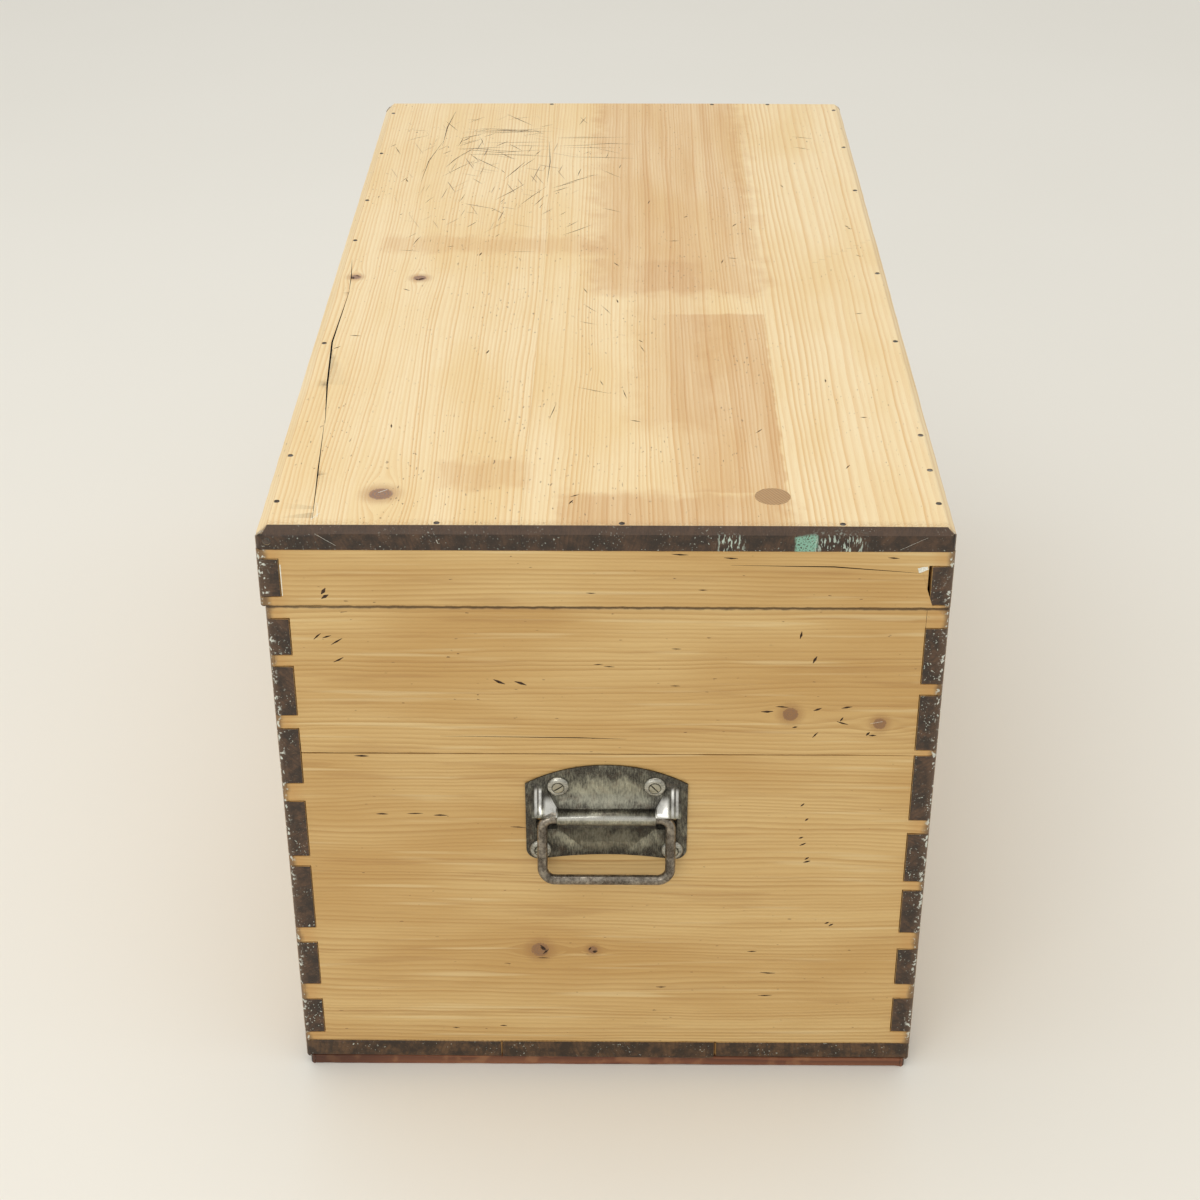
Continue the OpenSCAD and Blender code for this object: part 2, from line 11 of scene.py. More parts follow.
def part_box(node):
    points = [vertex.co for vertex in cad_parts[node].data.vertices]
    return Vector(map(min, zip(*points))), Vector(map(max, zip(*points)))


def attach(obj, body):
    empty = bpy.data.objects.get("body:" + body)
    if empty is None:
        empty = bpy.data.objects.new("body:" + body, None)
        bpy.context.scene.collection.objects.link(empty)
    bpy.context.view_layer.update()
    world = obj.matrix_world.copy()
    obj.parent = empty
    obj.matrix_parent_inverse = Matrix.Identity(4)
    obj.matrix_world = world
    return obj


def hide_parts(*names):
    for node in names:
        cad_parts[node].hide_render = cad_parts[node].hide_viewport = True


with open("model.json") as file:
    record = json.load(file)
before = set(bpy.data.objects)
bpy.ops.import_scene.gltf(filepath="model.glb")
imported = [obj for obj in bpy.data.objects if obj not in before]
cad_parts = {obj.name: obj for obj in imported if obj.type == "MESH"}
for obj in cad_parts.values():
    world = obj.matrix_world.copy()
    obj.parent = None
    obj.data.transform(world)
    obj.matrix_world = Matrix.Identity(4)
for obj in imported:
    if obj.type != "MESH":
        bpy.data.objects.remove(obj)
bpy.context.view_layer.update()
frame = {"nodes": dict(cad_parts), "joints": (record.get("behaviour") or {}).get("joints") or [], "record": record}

MM = 0.001
X, Y, Z = 0, 1, 2
AXES = (Vector((1, 0, 0)), Vector((0, 1, 0)), Vector((0, 0, 1)))


def body_of(node):
    """The CAD body that a node belongs to."""
    for body, nodes in frame["record"]["behaviour"]["bodies"].items():
        if node in nodes:
            return body


def stand_for(piece, node):
    """Puts a finished piece in place of its CAD node."""
    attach(piece, body_of(node))
    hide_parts(node)
    return piece


# ---------------------------------------------------------------- places on the chest, in millimetres

def low_of(node, axis):
    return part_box(node)[0][axis] / MM


def high_of(node, axis):
    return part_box(node)[1][axis] / MM


LID_TOP = high_of("lid_board_middle", Z)
LID_FOOT = low_of("lid_board_middle", Z)
LID_END = high_of("lid_board_middle", X)
RIM_FACE = high_of("lid_rim_right", X)
END_FACE = high_of("right_end_lower_board", X)
BODY_FRONT = low_of("right_end_lower_board", Y)
BODY_BACK = high_of("right_end_lower_board", Y)
BODY_TOP = high_of("right_end_upper_board", Z)
BOTTOM_FOOT = low_of("bottom_board_middle", Z)
# Thickness of the front and back walls, which is the length of the tails
LONG_WALL_T = high_of("front_lower_board", Y) - low_of("front_lower_board", Y)
# The handle's middle, the height of the bail's axis, and the thickness of the plate's flat part
HANDLE_Y = (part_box("right_bail")[0].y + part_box("right_bail")[1].y) / 2 / MM
AXIS_Z = [joint["pos_m"][2] for joint in frame["joints"] if joint["child"] == "right_bail"][0] / MM
PLATE_T = low_of("right_cup_washers", X) - END_FACE


# ---------------------------------------------------------------- camera, light and floor

# The camera: place in metres, angles (down, turned, rolled) in degrees, sensor and lens in millimetres
CAMERA_PLACE = (1.8274, 0.0121, 1.2333)
CAMERA_ANGLES = (30.46, 0.675, -0.12)
SENSOR, LENS = 36, 64.4


def set_camera():
    """The camera stands in front of the right-hand end and looks down on the lid."""
    camera = bpy.data.objects.new("camera", bpy.data.cameras.new("camera"))
    bpy.context.scene.collection.objects.link(camera)
    camera.data.sensor_width = SENSOR
    camera.data.lens = LENS
    down, turn, roll = CAMERA_ANGLES
    place = Matrix.Translation(CAMERA_PLACE)
    heading = Matrix.Rotation(math.radians(90 + turn), 4, "Z")
    tilt = Matrix.Rotation(math.radians(90 - down), 4, "X")
    camera.matrix_world = place @ heading @ tilt @ Matrix.Rotation(math.radians(roll), 4, "Z")
    bpy.context.scene.camera = camera


def add_lamp(name, place, size, power, aim=(0, 0, 0.3)):
    """A large soft lamp that points at the chest."""
    lamp = bpy.data.lights.new(name, "AREA")
    lamp.shape = "RECTANGLE"
    lamp.size, lamp.size_y = size
    lamp.energy = power
    thing = bpy.data.objects.new(name, lamp)
    thing.location = place
    thing.rotation_euler = (Vector(aim) - Vector(place)).to_track_quat("-Z", "Y").to_euler()
    bpy.context.scene.collection.objects.link(thing)


def set_light():
    world = bpy.data.worlds.new("studio")
    world.use_nodes = True
    sky = world.node_tree.nodes["Background"]
    sky.inputs["Color"].default_value = (0.93, 0.93, 0.92, 1)
    sky.inputs["Strength"].default_value = 0.8
    bpy.context.scene.world = world
    bpy.context.scene.view_settings.view_transform = "Standard"
    add_lamp("top_lamp", (0.3, -0.5, 3.2), (3.0, 3.0), 30)
    add_lamp("front_lamp", (3.4, -1.4, 1.9), (2.2, 1.6), 24)


def lay_floor():
    clear_selection()
    bpy.ops.mesh.primitive_plane_add(size=16)
    floor = bpy.context.active_object
    floor.name = "floor"
    plaster = Recipe("pale_floor")
    cloud = plaster.noise(plaster.place, 1.5, detail=2)
    plaster.colour(plaster.blend(cloud, tint("#ece8dd"), tint("#f0ece2")))
    plaster.finish(roughness=0.55)
    floor.data.materials.append(plaster.material)


# ---------------------------------------------------------------- shaping pieces

def clear_selection():
    if bpy.context.object and bpy.context.object.mode != "OBJECT":
        bpy.ops.object.mode_set(mode="OBJECT")
    bpy.ops.object.select_all(action="DESELECT")


def take(piece):
    """Makes one piece the selected and active one."""
    clear_selection()
    piece.select_set(True)
    bpy.context.view_layer.objects.active = piece


def edit_all(piece, *steps):
    """Runs mesh tools on the whole of a piece in edit mode."""
    take(piece)
    bpy.ops.object.mode_set(mode="EDIT")
    bpy.ops.mesh.select_all(action="SELECT")
    for step in steps:
        step()
    bpy.ops.object.mode_set(mode="OBJECT")


def merge(distance):
    """A step for edit_all that joins points closer than a distance in millimetres."""
    return lambda: bpy.ops.mesh.remove_doubles(threshold=distance * MM)


def scribe(piece, cuts):
    """Cuts lines right round a piece, each in the plane of a point and a normal."""
    take(piece)
    bpy.ops.object.mode_set(mode="EDIT")
    for point, normal in cuts:
        bpy.ops.mesh.select_all(action="SELECT")
        bpy.ops.mesh.bisect(plane_co=point, plane_no=normal)
    bpy.ops.object.mode_set(mode="OBJECT")


def scribe_along(piece, axis, step):
    """Cuts lines across a piece at even steps along an axis."""
    places = [v.co[axis] for v in piece.data.vertices]
    low, high = min(places), max(places)
    count = max(1, round((high - low) / step))
    points = [AXES[axis] * (low + (high - low) * i / count) for i in range(1, count)]
    scribe(piece, [(point, AXES[axis]) for point in points])


def use_modifier(piece, kind, **settings):
    """Adds a modifier, sets it and applies it."""
    take(piece)
    modifier = piece.modifiers.new(kind.lower(), kind)
    for name, value in settings.items():
        setattr(modifier, name, value)
    bpy.ops.object.modifier_apply(modifier=modifier.name)


def ease(piece, width=0.5 * MM, steps=2, angle=35):
    """Takes the sharpness off every arris."""
    use_modifier(piece, "BEVEL", width=width, segments=steps, limit_method="ANGLE",
                 angle_limit=math.radians(angle), use_clamp_overlap=True)


def smooth(piece, angle=40):
    take(piece)
    bpy.ops.object.shade_smooth_by_angle(angle=math.radians(angle))


def node_copy(name, node):
    """A merged copy of a CAD node's mesh, as a piece of its own."""
    piece = bpy.data.objects.new(name, frame["nodes"][node].data.copy())
    piece.data.name = name
    piece.data.materials.clear()
    bpy.context.scene.collection.objects.link(piece)
    edit_all(piece, merge(0.01), lambda: bpy.ops.mesh.dissolve_limited(angle_limit=math.radians(1)))
    return piece


# ---------------------------------------------------------------- recipes for materials

def tint(code):
    """A linear colour from a hex code."""
    values = [int(code[i:i + 2], 16) / 255 for i in (1, 3, 5)]
    return tuple(v / 12.92 if v <= 0.04045 else ((v + 0.055) / 1.055) ** 2.4 for v in values) + (1.0,)


class Recipe:
    """A material's nodes, written as sums of sockets and numbers."""

    def __init__(self, name):
        self.material = bpy.data.materials.new(name)
        self.material.use_nodes = True
        self.tree = self.material.node_tree
        self.tree.nodes.clear()
        self.shader = self.tree.nodes.new("ShaderNodeBsdfPrincipled")
        output = self.tree.nodes.new("ShaderNodeOutputMaterial")
        self.tree.links.new(self.shader.outputs[0], output.inputs["Surface"])
        coordinates = self.tree.nodes.new("ShaderNodeTexCoord")
        self.place = coordinates.outputs["Object"]
        self.normal = coordinates.outputs["Normal"]

    def put(self, socket, value):
        if isinstance(value, bpy.types.NodeSocket):
            self.tree.links.new(value, socket)
        else:
            socket.default_value = value

    def node(self, kind, *values, out=0, **settings):
        """A node with its settings and its first inputs filled in."""
        made = self.tree.nodes.new(kind)
        for name, value in settings.items():
            setattr(made, name, value)
        for socket, value in zip(made.inputs, values):
            if value is not None:
                self.put(socket, value)
        return made.outputs[out]

    def math(self, operation, *values, clamp=False):
        return self.node("ShaderNodeMath", *values, operation=operation, use_clamp=clamp)

    def plus(self, a, b):
        return self.math("ADD", a, b)

    def less(self, a, b):
        return self.math("SUBTRACT", a, b)

    def times(self, a, b):
        return self.math("MULTIPLY", a, b)

    def over(self, a, b):
        return self.math("DIVIDE", a, b)

    def most(self, a, b):
        return self.math("MAXIMUM", a, b)

    def least(self, a, b):
        return self.math("MINIMUM", a, b)

    def length(self, a, b):
        """The length of the slant over two sides."""
        return self.math("SQRT", self.plus(self.times(a, a), self.times(b, b)))

    def in_millimetres(self):
        return self.scaled(self.place, (1 / MM, 1 / MM, 1 / MM))

    def rise(self, value, low, high, bottom=0.0, top=1.0):
        """A smooth step from bottom at low to top at high."""
        made = self.tree.nodes.new("ShaderNodeMapRange")
        made.interpolation_type = "SMOOTHSTEP"
        for name, number in zip(("Value", "From Min", "From Max", "To Min", "To Max"),
                                (value, low, high, bottom, top)):
            self.put(made.inputs[name], number)
        return made.outputs["Result"]

    def parts(self, vector):
        made = self.tree.nodes.new("ShaderNodeSeparateXYZ")
        self.put(made.inputs[0], vector)
        return list(made.outputs)

    def vector(self, x, y, z):
        return self.node("ShaderNodeCombineXYZ", x, y, z)

    def scaled(self, vector, factors):
        return self.node("ShaderNodeVectorMath", vector, factors, operation="MULTIPLY")

    def shifted(self, vector, offset):
        return self.node("ShaderNodeVectorMath", vector, offset, operation="ADD")

    def noise(self, vector, scale, detail=2.0, roughness=0.5, distortion=0.0):
        made = self.tree.nodes.new("ShaderNodeTexNoise")
        for name, value in (("Vector", vector), ("Scale", scale), ("Detail", detail),
                            ("Roughness", roughness), ("Distortion", distortion)):
            self.put(made.inputs[name], value)
        return made.outputs[0]

    def wave_of(self, value, scale, seed=0.0):
        """Noise along one number."""
        made = self.tree.nodes.new("ShaderNodeTexNoise")
        made.noise_dimensions = "1D"
        self.put(made.inputs["W"], self.plus(value, seed))
        self.put(made.inputs["Scale"], scale)
        return made.outputs[0]

    def chance(self, value):
        """A random number for each whole number."""
        made = self.tree.nodes.new("ShaderNodeTexWhiteNoise")
        made.noise_dimensions = "1D"
        self.put(made.inputs["W"], value)
        return made.outputs[0]

    def blend(self, factor, a, b, mode="MIX"):
        """A colour between a and b."""
        made = self.tree.nodes.new("ShaderNodeMix")
        made.data_type = "RGBA"
        made.blend_type = mode
        made.clamp_factor = True
        for index, value in ((0, factor), (6, a), (7, b)):
            self.put(made.inputs[index], value)
        return made.outputs[2]

    def colour(self, value):
        self.put(self.shader.inputs["Base Color"], value)

    def bump(self, height, depth):
        made = self.tree.nodes.new("ShaderNodeBump")
        made.inputs["Strength"].default_value = 1.0
        made.inputs["Distance"].default_value = depth
        self.put(made.inputs["Height"], height)
        self.put(self.shader.inputs["Normal"], made.outputs[0])

    def finish(self, **sockets):
        names = {"roughness": "Roughness", "metallic": "Metallic", "coat": "Coat Weight",
                 "coat_roughness": "Coat Roughness", "specular": "Specular IOR Level"}
        for name, value in sockets.items():
            self.put(self.shader.inputs[names[name]], value)
        return self.material


# ---------------------------------------------------------------- working the boards

def convex_arrises(piece, shortest, wanted=None):
    """The numbers of the sharp outward edges that are at least this long."""
    mesh = piece.data
    sides = {}
    for face in mesh.polygons:
        corners = list(face.vertices)
        for a, b in zip(corners, corners[1:] + corners[:1]):
            inward = face.normal.cross(mesh.vertices[b].co - mesh.vertices[a].co)
            sides.setdefault((min(a, b), max(a, b)), []).append((face.normal.copy(), inward))
    chosen = []
    for edge in mesh.edges:
        pair = sides.get(tuple(sorted(edge.vertices)), ())
        a, b = (mesh.vertices[i].co for i in edge.vertices)
        if len(pair) != 2 or (a - b).length < shortest:
            continue
        (normal, inward), (other, _) = pair
        if normal.dot(other) < 0.8 and inward.dot(other) < 0 and (wanted is None or wanted(a, b)):
            chosen.append(edge.index)
    return chosen


def round_arrises(piece, width, steps=2, shortest=6 * MM, wanted=None):
    """Rounds the outward arrises and keeps them in a vertex group for later wear."""
    chosen = set(convex_arrises(piece, shortest, wanted))
    if not chosen:
        return
    take(piece)
    bpy.ops.object.mode_set(mode="EDIT")
    bpy.ops.mesh.select_mode(type="EDGE")
    bpy.ops.mesh.select_all(action="DESELECT")
    bpy.ops.object.mode_set(mode="OBJECT")
    for edge in piece.data.edges:
        edge.select = edge.index in chosen
    bpy.ops.object.mode_set(mode="EDIT")
    bpy.ops.mesh.bevel(offset=width, segments=steps, profile=0.5)
    if not piece.vertex_groups:
        bpy.ops.object.vertex_group_add()
    bpy.ops.object.vertex_group_assign()
    bpy.ops.object.mode_set(mode="OBJECT")


def cloud_texture(name, size, depth=2):
    texture = bpy.data.textures.new(name, "CLOUDS")
    texture.noise_scale = size
    texture.noise_depth = depth
    return texture


SWELL = cloud_texture("slow_swell", 0.13)
DENTS = cloud_texture("small_dents", 0.017, 3)


def age(piece, swell=0.3 * MM, dents=0.9 * MM):
    """Lets the faces swell and shrink, and dents the rounded arrises, always into the wood."""
    use_modifier(piece, "DISPLACE", texture=SWELL, texture_coords="LOCAL", direction="NORMAL",
                 strength=swell, mid_level=1.0)
    if piece.vertex_groups:
        use_modifier(piece, "DISPLACE", texture=DENTS, texture_coords="LOCAL", direction="NORMAL",
                     strength=dents, mid_level=1.0, vertex_group=piece.vertex_groups[0].name)


def worm(points, width, depth, axis, dressing, blunt=False):
    """A tapered cutter along a line on the surface, reaching into the wood along an axis."""
    curve = bpy.data.curves.new("worm", "CURVE")
    curve.dimensions = "3D"
    curve.bevel_depth = width / 2
    curve.bevel_resolution = 1
    curve.use_fill_caps = True
    line = curve.splines.new("POLY")
    line.points.add(len(points) - 1)
    last = len(points) - 1
    for index, (spot, place) in enumerate(zip(line.points, points)):
        spot.co = (*place, 1)
        end = index in (0, last)
        spot.radius = (0.8 if blunt else 0.15) if end else 1.0
    cutter = bpy.data.objects.new("worm", curve)
    bpy.context.scene.collection.objects.link(cutter)
    take(cutter)
    bpy.ops.object.convert(target="MESH")
    cutter = bpy.context.active_object
    stretch = [1.0, 1.0, 1.0]
    stretch[axis] = 2 * depth / width
    edit_all(cutter, lambda: bpy.ops.transform.resize(value=stretch, center_override=points[0]),
             merge(0.005), lambda: bpy.ops.mesh.normals_make_consistent(inside=False))
    cutter.data.materials.clear()
    cutter.data.materials.append(dressing)
    return cutter


def boolean(piece, other, operation):
    """Joins another solid on or cuts it out. New faces keep its material, and it is used up."""
    use_modifier(piece, "BOOLEAN", operation=operation, object=other, solver="MANIFOLD",
                 material_mode="TRANSFER")
    bpy.data.objects.remove(other)


def carve(piece, cutters):
    """Cuts the cutters out of a piece. Those that cross are first made one solid."""
    if not cutters:
        return
    whole = cutters[0]
    for cutter in cutters[1:]:
        boolean(whole, cutter, "UNION")
    boolean(piece, whole, "DIFFERENCE")


# ---------------------------------------------------------------- pine

class Pine(Recipe):
    """Solid pine. Rings lie round a pith line outside the board, so long grain and end grain agree."""

    def __init__(self, name, grain, across, pith, spacing=3.0, seed=0.0, sway=9.0, knots=()):
        super().__init__(name)
        thick = 3 - grain - across
        self.at = self.in_millimetres()
        self.spot = self.parts(self.at)
        self.u, self.v, self.w = self.spot[grain], self.spot[across], self.spot[thick]
        self.facing = [self.math("ABSOLUTE", n) for n in self.parts(self.normal)]
        self.grain, self.across, self.thick = grain, across, thick
        v = self.flow_round(knots)
        slow = self.grained(1 / 420, 1 / 70, seed, detail=1)
        quick = self.grained(1 / 95, 1 / 26, seed + 5)
        self.drift = self.less(slow, 0.5)
        shift = self.plus(self.times(self.drift, sway * 2.2), self.times(self.less(quick, 0.5), sway * 0.42))
        a = self.less(self.plus(v, shift), pith[0])
        b = self.less(self.plus(self.w, self.times(self.drift, sway)), pith[1])
        radius = self.length(a, b)
        uneven = self.wave_of(self.over(radius, spacing * 6), 1.0, seed)
        turn = self.plus(self.over(radius, spacing), self.times(uneven, 1.6))
        self.ring = self.math("FRACT", turn)
        self.luck = self.chance(self.plus(self.math("FLOOR", turn), seed))
        hard = self.times(self.rise(self.ring, 0.22, 0.9), self.rise(self.ring, 1.0, 0.93))
        self.late = self.times(hard, self.plus(0.3, self.times(self.luck, 0.7)))
        self.fibre = self.grained(1 / 26, 2.2, seed + 9, detail=3, roughness=0.65)
        self.streak = self.grained(1 / 260, 1 / 9, seed + 13, detail=3)
        self.patch = self.grained(1 / 210, 1 / 60, seed + 17)
        self.grit = self.noise(self.at, 0.9, detail=2)

    def grain_space(self, along, side, deep, seed=0.0):
        """The board's place, stretched along the grain, for noise."""
        factors = [0, 0, 0]
        factors[self.grain], factors[self.across], factors[self.thick] = along, side, deep
        return self.shifted(self.scaled(self.at, factors), (seed * 1.7, seed * 0.9, seed * 2.3))

    def grained(self, along, side, seed, detail=2, roughness=0.5):
        """Noise stretched along the grain, from its waves for each millimetre along and across."""
        return self.noise(self.grain_space(along, side, side, seed), 1.0, detail, roughness)

    def flow_round(self, knots):
        """The across place, pushed aside so that the grain flows round each knot."""
        v = self.v
        self.knot_spots = []
        for along, side, size, stretch in knots:
            du = self.less(self.u, along)
            dv = self.less(self.v, side)
            long = self.over(du, stretch)
            far = self.plus(self.times(long, long), self.times(dv, dv))
            push = self.over(size * size, self.most(far, size * size))
            v = self.less(v, self.times(dv, push))
            near = self.length(du, dv)
            self.knot_spots.append((near, size))
        return v

    def wood(self, early, late, honey, deep=0.75):
        """Long-grain colour: early wood, late wood and slow honey patches."""
        base = self.blend(self.rise(self.patch, 0.35, 0.7), tint(early), tint(honey))
        base = self.blend(self.times(self.rise(self.streak, 0.5, 0.72), 0.45), base, tint(honey))
        base = self.blend(self.times(self.late, deep), base, tint(late))
        return self.blend(self.times(self.rise(self.fibre, 0.52, 0.75), 0.3), base, tint(late))

    def box_mask(self, low, high, soft=3.0, ragged=0.0):
        """A soft box in x, y and z (None leaves a side open), with ragged edges."""
        mask = None
        wander = self.times(self.less(self.noise(self.at, 1 / 22, detail=3), 0.5), ragged * 2)
        for axis in range(3):
            for limit, sign in ((low[axis], 1), (high[axis], -1)):
                if limit is None:
                    continue
                place = self.plus(self.spot[axis], wander) if ragged else self.spot[axis]
                edge = self.rise(place, limit - soft * sign, limit + soft * sign)
                mask = edge if mask is None else self.times(mask, edge)
        return mask

    def add_knots(self, base, heart, ringed):
        """Darkens the wood inside and round each knot."""
        for near, size in self.knot_spots:
            wobble = self.plus(near, self.times(self.less(self.grit, 0.5), size * 0.5))
            halo = self.times(self.rise(wobble, size * 2.3, size * 0.8), 0.55)
            base = self.blend(halo, base, tint(ringed))
            lines = self.math("FRACT", self.over(wobble, max(size / 3.5, 1.2)))
            core = self.blend(lines, tint(heart), tint(ringed))
            base = self.blend(self.rise(wobble, size * 1.05, size * 0.85), base, core)
        return base

    def end_grain(self, dark, brown, flecks=0.5, bottom=None):
        """Stained end grain with rings, rubbed streaks and old paint in the pores."""
        rub = self.noise(self.at, 1 / 14, detail=4, roughness=0.7)
        base = self.blend(self.rise(rub, 0.38, 0.68), tint(dark), tint(brown))
        base = self.blend(self.times(self.late, 0.55), base, tint(dark))
        scuff = self.noise(self.scaled(self.at, (1.0, 0.35, 1.6)), 1.0, detail=2)
        base = self.blend(self.times(self.rise(scuff, 0.62, 0.75), 0.35), base, tint("#8a6a4a"))
        dots = self.noise(self.at, 0.62, detail=1)
        area = self.rise(self.noise(self.at, 1 / 24, detail=2), 0.42, 0.68)
        if bottom is not None:
            area = self.most(area, self.rise(self.spot[Z], bottom + 4.0, bottom + 0.5))
        paint = self.times(self.rise(dots, 0.71 - 0.05 * flecks, 0.75 - 0.05 * flecks), area)
        return self.blend(self.times(paint, 0.85), base, tint("#cdd3c4"))

    def end_mask(self, low=0.5, high=0.75):
        return self.rise(self.facing[self.grain], low, high)

    def done(self, colour, rough=0.52, extra=None):
        self.colour(colour)
        height = self.plus(self.times(self.late, 0.5), self.times(self.fibre, 0.7))
        if extra is not None:
            height = self.plus(height, extra)
        self.bump(height, 0.22 * MM)
        gloss = self.plus(rough, self.times(self.less(self.fibre, 0.5), 0.3))
        gloss = self.less(gloss, self.times(self.late, 0.08))
        return self.finish(roughness=gloss, specular=0.4)


# colours of the wood
PALE, PALE_LINE, PALE_HONEY = "#f3dcae", "#dcae6d", "#eccf98"
HONEY, HONEY_LINE, HONEY_DEEP = "#d6b478", "#b0854a", "#c59d5f"
END_DARK, END_BROWN = "#33281f", "#5d4431"
KNOT_HEART, KNOT_RING = "#7d6c66", "#a9794b"
WALL_HEART, WALL_RING = "#84664e", "#9b6f40"
OLD_WHITE, OLD_GREEN = "#dfe3d6", "#86b39c"


def lid_pine(name, pith, seed, knots=(), spacing=3.1):
    """A lid board: pale and finely lined, with stains, fine scratches and dark end grain."""
    pine = Pine(name, X, Y, pith, spacing=spacing, seed=seed, sway=7.0, knots=knots)
    base = pine.wood(PALE, PALE_LINE, PALE_HONEY)
    base = pine.add_knots(base, KNOT_HEART, KNOT_RING)
    top = pine.rise(pine.spot[Z], *TOP_FADE)
    for low, high, soft, ragged, strength, code, fade in LID_STAINS:
        mask = pine.times(pine.box_mask(low, high, soft, ragged), pine.times(top, strength))
        if fade:
            mask = pine.times(mask, pine.rise(pine.spot[Y], *fade))
        uneven = pine.rise(pine.streak, 0.25, 0.75, 0.55, 1.0)
        base = pine.blend(pine.times(mask, uneven), base, tint(code), "MULTIPLY")
    cuts = scratch_mask(pine)
    base = pine.blend(pine.times(pine.times(cuts, top), 0.8), base, tint("#7b5c42"))
    specks = pine.rise(pine.grained(1 / 5, 1 / 2.0, seed + 3, detail=1), 0.71, 0.76)
    thick = pine.rise(pine.noise(pine.at, 1 / 90, detail=2), 0.42, 0.6, 0.15, 0.75)
    base = pine.blend(pine.times(specks, thick), base, tint("#6e4f35"))
    rim = pine.times(top, pine.rise(pine.spot[X], LID_END - 16, LID_END - 5))
    base = pine.blend(pine.times(rim, pine.rise(pine.grit, 0.4, 0.65, 0.1, 0.5)), base, tint("#a67f52"))
    base = edge_grime(pine, base)
    ends = pine.end_grain(END_DARK, END_BROWN, flecks=0.8, bottom=LID_FOOT)
    brush = pine.noise(pine.scaled(pine.at, (0.12, 1.3, 0.3)), 1.0, detail=3)
    sloped = pine.times(pine.rise(pine.facing[Z], 0.35, 0.6), pine.rise(brush, 0.3, 0.7, 0.35, 0.8))
    ends = pine.blend(sloped, ends, tint("#5a4330"))
    ends = pine.blend(0.22, ends, tint("#2c2015"))
    ends = green_paint(pine, ends)
    colour = pine.blend(pine.end_mask(0.4, 0.6), base, ends)
    return pine.done(colour, 0.47, pine.times(cuts, -2.0))


# Heights over which the marks of the lid's top begin, near the top of its bevels
TOP_FADE = (500, 503)
# Stains on the lid: low corner, high corner, softness, raggedness, strength, colour,
# and the y between which a stain fades in
LID_STAINS = (
    ((104, 20, None), (436, 133, None), 2.0, 5.0, 0.5, "#d0a473", (30, 88)),
    ((438, -30, None), (492, 133, None), 10.0, 18.0, 0.5, "#c99c69", None),
    ((-499, -14, None), (60, 136, None), 14.0, 24.0, 0.45, "#d0a470", None),
    ((-20, 20, None), (330, 84, None), 14.0, 22.0, 0.3, "#d8b587", None),
    ((385, -126, None), (430, -60, None), 8.0, 16.0, 0.3, "#cfa678", None),
    ((-80, -210, None), (-40, 0, None), 10.0, 18.0, 0.3, "#d2a877", None),
)


# The lid's worn corner: the middle of its oval, half its size,
# and the turn, width and seed of each set of strokes
WORN_MIDDLE, WORN_HALF = (-260, -125), (215, 118)
FINE_STROKES = ((18, 1.15, 3), (-32, 1.25, 11), (64, 1.35, 23), (-8, 1.2, 37))


def scratch_mask(pine):
    """Fine crossed scratches in one worn corner of the lid."""
    x, y = pine.spot[X], pine.spot[Y]
    dx = pine.over(pine.less(x, WORN_MIDDLE[0]), WORN_HALF[0])
    dy = pine.over(pine.less(y, WORN_MIDDLE[1]), WORN_HALF[1])
    region = pine.rise(pine.length(dx, dy), 1.15, 0.45)
    total = None
    for turn, thin, seed in FINE_STROKES:
        c, s = math.cos(math.radians(turn)), math.sin(math.radians(turn))
        along = pine.plus(pine.times(x, c), pine.times(y, s))
        side = pine.less(pine.times(y, c), pine.times(x, s))
        line = pine.noise(pine.vector(pine.over(along, 70), pine.over(side, 1.5 * thin), seed), 1.0, detail=1)
        mark = pine.rise(line, 0.73, 0.77)
        total = mark if total is None else pine.most(total, mark)
    return pine.times(total, region)


def edge_grime(pine, base):
    """Dark handling dirt and scraps of white paint along the outer upright arrises."""
    x, y = pine.math("ABSOLUTE", pine.spot[X]), pine.spot[Y]
    reach = None
    for side in (BODY_FRONT - 2, BODY_BACK + 1.5):
        near = pine.length(pine.less(x, LID_END), pine.less(y, side))
        reach = near if reach is None else pine.least(reach, near)
    reach = pine.plus(reach, pine.times(pine.less(pine.noise(pine.at, 1 / 9, detail=3), 0.5), 7))
    base = pine.blend(pine.rise(reach, 9.5, 3.5, 0, 0.75), base, tint("#5c4736"))
    scrap = pine.times(pine.rise(pine.noise(pine.at, 1 / 3.2, detail=2), 0.58, 0.63), pine.rise(reach, 8, 4))
    return pine.blend(pine.times(scrap, 0.8), base, tint(OLD_WHITE))


def painted_seam_shadow(pine, base):
    """Painted shadow in the seam under the lid, on the outer faces only."""
    ragged = pine.plus(pine.spot[Z], pine.times(pine.less(pine.noise(pine.at, 1 / 7, detail=2), 0.5), 1.6))
    below = pine.rise(ragged, BODY_TOP - 2.4, BODY_TOP - 0.8)
    above = pine.rise(ragged, BODY_TOP + 1.6, BODY_TOP + 0.6)
    seam = pine.times(below, above)
    upright = pine.rise(pine.facing[Z], 0.7, 0.4)
    at_ends = pine.rise(pine.math("ABSOLUTE", pine.spot[X]), END_FACE - 5, END_FACE - 2)
    at_front = pine.rise(pine.spot[Y], BODY_FRONT + 4, BODY_FRONT + 1)
    at_back = pine.rise(pine.spot[Y], BODY_BACK - 5, BODY_BACK - 2)
    outside = pine.most(at_ends, pine.most(at_front, at_back))
    seam = pine.times(seam, pine.times(upright, outside))
    # the painted shadow's dark brown colour along the joint under the lid
    return pine.blend(pine.times(seam, 0.85), base, tint("#33200f"))


# Old paint on the near end of the lid: from and to, in y and up to a height
GREEN_PATCH = ((None, 135.3, None), (None, 150, 500.5))
NARROW_SMEAR = ((None, 80, None), (None, 99, 501))
WIDE_SMEAR = ((None, 148, None), (None, 184, 500))


